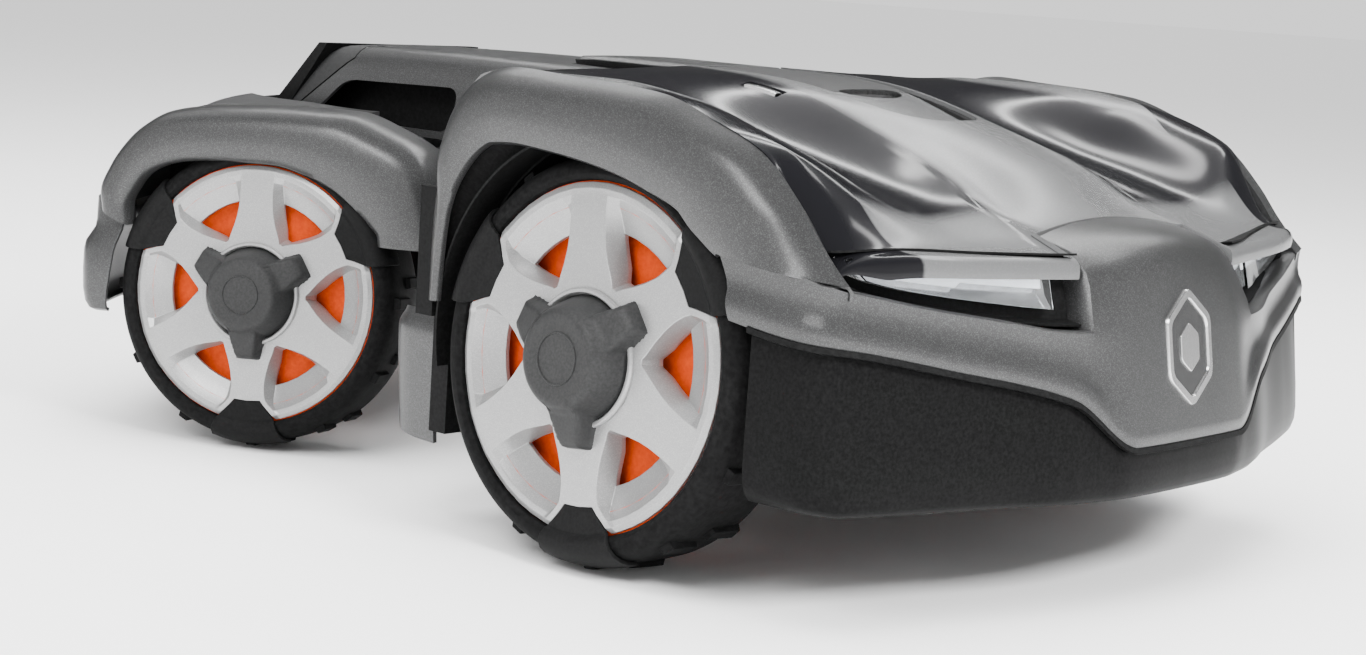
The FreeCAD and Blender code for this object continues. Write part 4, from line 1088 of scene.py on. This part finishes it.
well_rows = []
for k in range(61):
    turn = math.radians(lerp(-47, 101, k / 60))
    well_rows.append([
        Vector((-x, radius * math.sin(turn), HUB_HEIGHT + radius * math.cos(turn)))
        for x, radius in ((262, 130), (240, 130.5), (205, 130), (184, 128), (178, 122), (176, 100), (176, 64))
    ])
make_pair("well", turned_over(shell(well_rows, 1.6)), FRONT, "front_body", FRAME, 0.0, 45)

WELL_INSIDE = 129.5
flange_rows = []
for k, a in enumerate(arch_line):
    if a.y < 0 or math.hypot(a.y, a.z - HUB_HEIGHT) < 128:
        continue
    side_on = arch_outward(k)
    turn = math.atan2(a.y, a.z - HUB_HEIGHT)
    round_y, round_z = WELL_INSIDE * math.sin(turn), HUB_HEIGHT + WELL_INSIDE * math.cos(turn)
    flange_rows.append([
        Vector((-256, a.y + side_on.y * 5, a.z + side_on.z * 5)),
        Vector((-254, a.y + side_on.y, a.z + side_on.z)),
        Vector((-246, lerp(a.y, round_y, 0.5), lerp(a.z, round_z, 0.5))),
        Vector((-236, round_y, round_z)),
    ])
make_pair("well_flange", shell(flange_rows, 1.4), FRONT, "front_body", FRAME, 0.0, 45)


# ---------------------------------------------------------------- wall that closes the front unit at the back

wall_rows = []
for k in range(41):
    x = lerp(56.0, 246.0, k / 40)
    top = hood_height(x, 122.0) - 3.0
    wave = 0.8 * math.cos(math.pi * (x - 56) / 23.75)
    wall_rows.append([Vector((-x, 121.0 + wave * t * (1 - t) * 4 - 3.0 * t, lerp(top, 204.0, t)))
                      for t in [j / 12 for j in range(13)]])
make_pair("back_wall", turned_over(shell(wall_rows, 2.0)), FRONT, "front_body", FRAME, 0.4)


# ---------------------------------------------------------------- badge, stop plate and contacts

NOSE_SLOPE = math.radians(9.3)
badge_at = Vector((0, -243.2, 151.5))
badge_up = Vector((0, math.sin(NOSE_SLOPE), math.cos(NOSE_SLOPE)))
badge_out = Vector((0, -badge_up.z, badge_up.y))


def hexagon(radius, out, squeeze=0.78, count=8):
    """A pointed-top hexagon with softened corners, on the nose's slope."""
    corners = [(radius * squeeze * math.sin(math.radians(60 * k)), radius * math.cos(math.radians(60 * k)))
               for k in range(6)]
    points = []
    for k in range(6):
        before, here, after = corners[k - 1], corners[k], corners[(k + 1) % 6]
        start = [lerp(here[j], before[j], 0.16) for j in (0, 1)]
        end = [lerp(here[j], after[j], 0.16) for j in (0, 1)]
        for step in range(count):
            t = step / (count - 1)
            a = [lerp(lerp(start[j], here[j], t), lerp(here[j], end[j], t), t) for j in (0, 1)]
            points.append(badge_at + Vector((a[0], 0, 0)) + badge_up * a[1] + badge_out * out)
    return points


ring = [hexagon(36.0, -3.0), hexagon(36.0, 0.6), hexagon(35.4, 1.3), hexagon(30.6, 1.3), hexagon(30.0, 0.7)]
ring += [hexagon(29.4, -3.0), hexagon(36.0, -3.0)]
make("badge_ring", sheet(ring, True), FRONT, "front_body", CHROME, sharp=40, nodes=["badge"])
plate = prism(hexagon(29.4, -2.5), badge_out * 2.4)
make("badge_field", plate, FRONT, "front_body", GLOSS, 0.3)
make("badge_core", prism(hexagon(15.0, -0.5), badge_out * 1.5), FRONT, "front_body", CHROME, 0.5)

PLATE_HALF = 44.6
PLATE_BACK = 238.5
plate_rows = []
for i in range(31):
    y = lerp(PLATE_BACK, 121.8, i / 30)
    row = []
    for j in range(41):
        x = lerp(-PLATE_HALF, PLATE_HALF, j / 40)
        edge = min(PLATE_HALF - abs(x), PLATE_BACK - y, 40)
        top = 291.0 - 2.4 * (1 - ease(0, 4.5, edge)) - 0.8 * (x / 45) ** 2 - 0.9 * ease(214, 238, y)
        dish = 1.3 * ease(1.0, 0.84, ((x / 33) ** 2 + ((y - 176) / 30) ** 2) ** 0.5)
        row.append(Vector((x, y, top - dish)))
    plate_rows.append(row)
make("stop_plate", sheet(plate_rows), FRONT, "stop_button", BODY, nodes=["stop_button"], thick=6.0,
     bevel=0.6)

strip = []
for k in range(25):
    y = lerp(50.0, 24.0, k / 24)
    z = hood_height(76, y) + 0.5 * math.sin(math.pi * k / 24)
    strip.append([Vector((-x, y, z + up)) for x, up in (
        (80.2, -3), (79.6, -0.3), (76, 0.6), (72.4, 0.1), (71.8, -3))])
make_pair("contact", turned_over(shell(strip, 1.2)), FRONT, "front_body", CHROME, 0.3,
          once=["charging_contacts"])
contact_well = slab([(-85, 18), (-67, 18), (-67, 58), (-85, 58)], 262, 266)
make_pair("contact_well", contact_well, FRONT, "front_body", FRAME, 0.5)


# ---------------------------------------------------------------- arch over the rear unit

ARCH_FOOT = 221.0
ARCH_TOP = ((136, 281), (240, 283), (330, 283.5), (420, 282), (458, 281), (472, 278.5), (484, 271))
ARCH_TOP += ((509, 249.5), (541, 222.5))
arch_path = along([(0, y, z) for y, z in ARCH_TOP], 80)
arch_rows = []
for p in arch_path:
    tall = p.z - ARCH_FOOT
    curve = min(18.0, max(0.8, tall * 0.45))
    half = []
    for t in (0, 0.25, 0.5, 0.75, 1.0):
        half.append((78.0 - 2.5 * t * min(1, tall / 60), lerp(ARCH_FOOT, p.z - curve, t)))
    side_x = half[-1][0]
    for a in (18, 36, 54, 72, 90):
        turn = math.radians(a)
        half.append((side_x - curve * (1 - math.cos(turn)), p.z - curve * (1 - math.sin(turn))))
    edge_x = half[-1][0]
    for t in (0.3, 0.6, 1.0):
        half.append((edge_x * (1 - t), p.z + 1.6 * math.sin(math.pi / 2 * t)))
    row = [Vector((-x, p.y, z)) for x, z in half] + [Vector((x, p.y, z)) for x, z in reversed(half[:-1])]
    arch_rows.append(row)


def side_prism(outline, half=110.0):
    """A closed cutter across the machine on an outline of (y, z)."""
    return prism([(-half, y, z) for y, z in outline], (2 * half, 0, 0))


def softened(corners, radius, steps=7):
    """A closed outline with rounded corners."""
    points = []
    for k, here in enumerate(corners):
        before, after = corners[k - 1], corners[(k + 1) % len(corners)]
        a = Vector((before[0] - here[0], before[1] - here[1]))
        b = Vector((after[0] - here[0], after[1] - here[1]))
        cut = min(radius, a.length * 0.45, b.length * 0.45)
        start, end = Vector(here) + a.normalized() * cut, Vector(here) + b.normalized() * cut
        for step in range(steps):
            t = step / (steps - 1)
            mid = start.lerp(Vector(here), t).lerp(Vector(here).lerp(end, t), t)
            points.append((mid.x, mid.y))
    return points


carry = softened([(330, 226), (322, 259), (447, 256), (486, 226)], 12)
stop_cut = slab([(-46.4, 100), (46.4, 100), (46.4, 240), (-46.4, 240)], 276, 330)
sheet_arch = turned_over(sheet(arch_rows))
front_side = [(120, 200), (546, 200), (546, 203.4), (441, 272), (436, 300), (120, 300)]
back_side = [(560, 200), (560, 320), (437, 320), (442, 272.8), (547, 204.2), (547, 200)]
arch = make("arch_shell", sheet_arch, FRONT, "front_body", BODY, nodes=["arch_cover"], thick=3.6)
trimmed(arch, side_prism(front_side), keep=True)
trimmed(arch, side_prism(carry), keep=False)
trimmed(arch, stop_cut, keep=False)
rounded(arch, 1.6, 3, 40)
tail = make("arch_tail", sheet_arch, FRONT, "front_body", PLATE, thick=3.6)
trimmed(tail, side_prism(back_side), keep=True)
trimmed(tail, side_prism(carry), keep=False)
rounded(tail, 1.0, 2, 40)
spine_box = [(142, 223.5), (142, 274), (438, 274), (470, 262), (512, 230), (512, 223.5)]
make("arch_inner", prism([(-55, y, z) for y, z in spine_box], (110, 0, 0)), FRONT, "front_body", GLOSS,
     2.0)


# ---------------------------------------------------------------- guards behind the front wheels

guard_rows = []
for i in range(25):
    t = i / 24
    row = []
    for j in range(17):
        u = j / 16
        turn = math.pi / 2 * u
        x = 196 + 49.0 * math.cos(turn) ** 0.42
        y = 150 + 48.0 * math.sin(turn) ** 0.42
        z = lerp(47.0 + 10 * u + 34 * ease(0.35, 1.0, u), 131.0 - 7.0 * u ** 3, t)
        pull = 3.5 * (1 - t) ** 2 + 5.0 * ease(0.8, 1.0, t) ** 2
        row.append(Vector((-(x - pull * math.cos(turn)), y - pull * math.sin(turn), z)))
    guard_rows.append(row)
make_pair("guard", turned_over(shell(guard_rows, 3.0)), FRONT, "front_body", BODY, 0.9,
          once=["wheel_guards"])


# ---------------------------------------------------------------- rear unit

REAR_FENDER = [((98, 150), (122, 160)), ((100, 165), (124, 174)), ((94, 178), (117, 192))]
REAR_FENDER += [((85, 189), (107, 207)), ((70, 196.5), (92, 222)), ((50, 201), (70, 233))]
REAR_FENDER += [((20, 203), (25, 238)), ((-10, 203), (-20, 240)), ((-35, 198), (-55, 239.5))]
REAR_FENDER += [((-57, 189), (-88, 230)), ((-75, 176), (-118, 214)), ((-86, 166), (-131, 187))]
REAR_FENDER += [((-92, 159), (-137, 167)), ((-93, 152), (-139, 152))]
REAR_WIDE = ((0, 240), (0.08, 242), (0.25, 243.4), (0.5, 243.2), (0.72, 241.5), (0.85, 238))
REAR_WIDE += ((0.94, 232.5), (1.0, 225))
low_line = along([(0, *a) for a, _ in REAR_FENDER], 80)
high_line = along([(0, *b) for _, b in REAR_FENDER], 80)
rear_rows = []
for k, (a, b) in enumerate(zip(low_line, high_line)):
    go = heading(low_line, k)
    side_on = Vector((0, go.z, -go.y))
    row = []
    for x, inset in ((228, 1.4), (236, 1.8)):
        row.append(Vector((-x, a.y - side_on.y * inset, a.z - side_on.z * inset)))
    for u, wide in REAR_WIDE:
        p = a.lerp(b, u)
        row.append(Vector((-wide, p.y, p.z)))
    for x, sink in ((208, -1.0), (191, -1.2), (189.6, 1.0), (189.6, 5.0)):
        p = b + (a - b).normalized() * sink
        row.append(Vector((-x, p.y, p.z)))
    rear_rows.append(row)
make_pair("fender_shell_rear", turned_over(shell(rear_rows, 2.2)), REAR, "rear_body", BODY,
          sharp=38, stands_for="fender_rear")

TAIL_PLAN = [(-243.5, 0.0), (-243.5, 12), (-241, 21), (-231, 29), (-207, 36), (-150, 48), (-75, 59), (0, 63)]
tail_half = along([(x, y, 0) for x, y in TAIL_PLAN], 60)
tail_plan = [(p.x, p.y) for p in tail_half] + [(-p.x, p.y) for p in reversed(tail_half[:-1])]
TAIL_FACE = [(168, -9.0), (158, -8.6), (151, -8.4), (146, -7.6), (141, -4.6), (136, -1.4), (130, 0)]
TAIL_FACE += [(116, 0.4), (102, 0), (93, -1.6), (88, -4.6), (86, -9.5)]
tail_rows = []
for k, (x, y) in enumerate(tail_plan):
    go = heading(tail_plan, k)
    out = Vector((-go.y, go.x))
    at_side = ease(30, 0, y)
    row = []
    for z, push in TAIL_FACE:
        start = lerp(101, 113, (168 - z) / 82)
        front = start + (107 - start) * (1 - at_side)
        row.append(Vector((x + out.x * push, front + y + out.y * push, z)))
    tail_rows.append(row)
make("tail_bumper", turned_over(shell(tail_rows, 2.6)), REAR, "rear_body", BODY, 0.6,
     nodes=["rear_bumper"])


REAR_HALF = 188.0


def back_bow(x):
    """How far the rear unit's back bows out, by the place across it."""
    return 30.0 * (1 - (x / REAR_HALF) ** 2)


back_rows = []
for k in range(41):
    x = lerp(-REAR_HALF, REAR_HALF, k / 40)
    back_rows.append([Vector((x, y + back_bow(x), z)) for y, z in
                      ((68, 234.5), (84, 230), (97, 221), (109, 207), (120, 188), (128, 170), (131, 158))])
make("tail_panel", turned_over(shell(back_rows, 2.4)), REAR, "rear_body", FRAME, 0.6)

COVER_HALF = REAR_HALF + 0.4
cover_rows = []
for i in range(41):
    row = []
    for j in range(61):
        x = lerp(-COVER_HALF, COVER_HALF, j / 60)
        end = 67.0 + back_bow(x)
        y = lerp(end, -34.0, i / 40)
        near_side = min(COVER_HALF - abs(x), end - y)
        rib = 0.8 * ease(2.0, 0.0, abs(abs(x) - 118))
        crown = 3.2 * math.cos(x / REAR_HALF * 1.2)
        z = 236.0 + crown - 2.2 * (1 - ease(0, 5, near_side)) - rib - 3.0 * ease(30, -34, y)
        row.append(Vector((x, y, z)))
    cover_rows.append(row)
cover = make("rear_cover", sheet(cover_rows), REAR, "rear_body", PLATE, thick=4.0,
             nodes=["rear_top_cover"])
ROOM = 111.0  # the arch's tail turns inside this radius
round_line = [math.radians(a) for a in range(0, 360, 5)]
trimmed(cover, slab([(ROOM * math.sin(a), ROOM * math.cos(a)) for a in round_line], 200, 300), False, REAR)
rounded(cover, 0.8, 2, 40)


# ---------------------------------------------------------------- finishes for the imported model's own pieces

FINISH = {
    "front_chassis": FRAME, "underside_plate": FRAME, "cover_screws": STEEL, "arch_core": FRAME,
    "pivot_bearing": STEEL, "battery_pack": FRAME, "control_board": BOARD, "display_panel": GLOSS,
    "jog_dial": KNOB, "start_button": GREEN, "power_button": KNOB, "hatch_pin": STEEL,
    "height_carriage": FRAME, "blade_motor": STEEL, "blade_disc": FRAME, "skid_plate": FRAME,
    "blade_screws": STEEL, "steering_yoke": FRAME, "rear_chassis": FRAME, "rear_apron": PALE,
    "blade_1": STEEL, "blade_2": STEEL, "blade_3": STEEL,
}
for unit_name in UNITS:
    for side_name in SIDES:
        FINISH[f"rim_{unit_name}_{side_name}"] = ORANGE
        FINISH[f"wheel_motor_{unit_name}_{side_name}"] = FRAME
for node, mat in FINISH.items():
    for place in bpy.data.objects[node].material_slots:
        place.material = mat


# ---------------------------------------------------------------- floor, light and camera


def area(name, spot, aim, size_x, size_y, power, mirrored=True):
    """A soft rectangular light at spot, aimed at a point, in metres, seen in reflections or not."""
    lamp = bpy.data.lights.new(name, "AREA")
    lamp.shape = "RECTANGLE"
    lamp.size, lamp.size_y, lamp.energy = size_x, size_y, power
    item = bpy.data.objects.new(name, lamp)
    item.location = spot
    item.rotation_euler = (Vector(aim) - Vector(spot)).to_track_quat("-Z", "Y").to_euler()
    item.visible_glossy = mirrored
    bpy.context.scene.collection.objects.link(item)


floor_mesh = bpy.data.meshes.new("floor")
floor_mesh.from_pydata([(-30, -30, 0), (30, -30, 0), (30, 30, 0), (-30, 30, 0)], [], [(0, 1, 2, 3)])
floor = bpy.data.objects.new("floor", floor_mesh)
floor.location.z = cad_box[0][2]
floor_mat = material("floor_pale", (0.92, 0.92, 0.92), 0.8, 0.0, 0.0, 0.1, 0.0)
drive(floor_mat, "Roughness", noise(floor_mat, 0.5), 0.70, 0.80)
floor_mesh.materials.append(floor_mat)
bpy.context.scene.collection.objects.link(floor)

world = bpy.data.worlds.new("studio")
world.use_nodes = True
sky = world.node_tree
base = fill(sky, sky.nodes["Background"], {"Color": (1, 1, 1, 1), "Strength": 1.25})
direction = add(sky, "TexCoord", {}).outputs["Generated"]
height = add(sky, "SeparateXYZ", {"Vector": direction}).outputs["Z"]


def sky_bands(stops):
    """Grey bands by height above the horizon, as (height, level)."""
    return ramp(sky, height, [(place, (level, level, level)) for place, level in stops])


NEAR_BANDS = ((0.0, 1.0), (0.16, 1.0), (0.42, 0.60), (0.62, 0.34), (0.70, 0.10), (1.0, 0.08))
FAR_BANDS = ((0.0, 0.10), (0.10, 0.05), (0.50, 0.05), (0.62, 0.30), (0.70, 0.95), (1.0, 0.30))
FAR_SIDE = (0.745, 0.665, 0.0)
toward = add(sky, "VectorMath", {1: FAR_SIDE, 0: direction}, operation="DOT_PRODUCT").outputs["Value"]
behind = add(sky, "MapRange", {"From Min": -0.10, "From Max": 0.45, "Value": toward},
             interpolation_type="SMOOTHSTEP")
mixed = add(sky, "Mix", {}, data_type="RGBA")
fill(sky, mixed, {0: behind.outputs["Result"], 6: sky_bands(NEAR_BANDS), 7: sky_bands(FAR_BANDS)})
studio = add(sky, "Background", {"Color": mixed.outputs[2], "Strength": 1.7})
rays = add(sky, "LightPath", {}).outputs["Is Glossy Ray"]
choose = add(sky, "MixShader", {"Fac": rays, 1: base.outputs["Background"], 2: studio.outputs["Background"]})
fill(sky, sky.nodes["World Output"], {"Surface": choose.outputs["Shader"]})
bpy.context.scene.world = world
area("streak", (1.35, 0.70, 1.66), (0.0, -0.1, 0.2), 2.6, 0.08, 16)
area("lip_streak", (1.15, -0.35, 1.9), (0.0, -0.2, 0.2), 1.8, 0.16, 16)
area("left_box", (-2.2, -0.6, 2.0), (0.0, 0.0, 0.15), 1.3, 1.0, 60)
area("key", (-0.45, -2.1, 1.5), (-0.2, -0.1, 0.1), 0.7, 0.5, 95, False)
area("over", (-0.3, 0.2, 3.0), (0.0, 0.0, 0.0), 3.0, 3.0, 200, False)

CAMERA_AT = Vector((-1.26665, -0.96824, 0.35352))  # metres, on the front unit
LENS_LENGTH = 63.95
azimuth, rise, roll_angle = math.radians(-48.31), math.radians(8.37), math.radians(-3.74)
back = Vector((math.sin(azimuth) * math.cos(rise), -math.cos(azimuth) * math.cos(rise), math.sin(rise)))
right = (-back).cross(Vector((0, 0, 1))).normalized()
down = (-back).cross(right)
view_x = right * math.cos(roll_angle) + down * math.sin(roll_angle)
view_y = right * math.sin(roll_angle) - down * math.cos(roll_angle)
lens = bpy.data.cameras.new("camera")
lens.sensor_width = 36
lens.lens = LENS_LENGTH
lens.clip_end = 100
camera = bpy.data.objects.new("camera", lens)
aim = Matrix((view_x, view_y, back)).transposed().to_4x4()
camera.matrix_world = Matrix.Translation(FRONT @ CAMERA_AT) @ aim
bpy.context.scene.collection.objects.link(camera)
bpy.context.scene.camera = camera
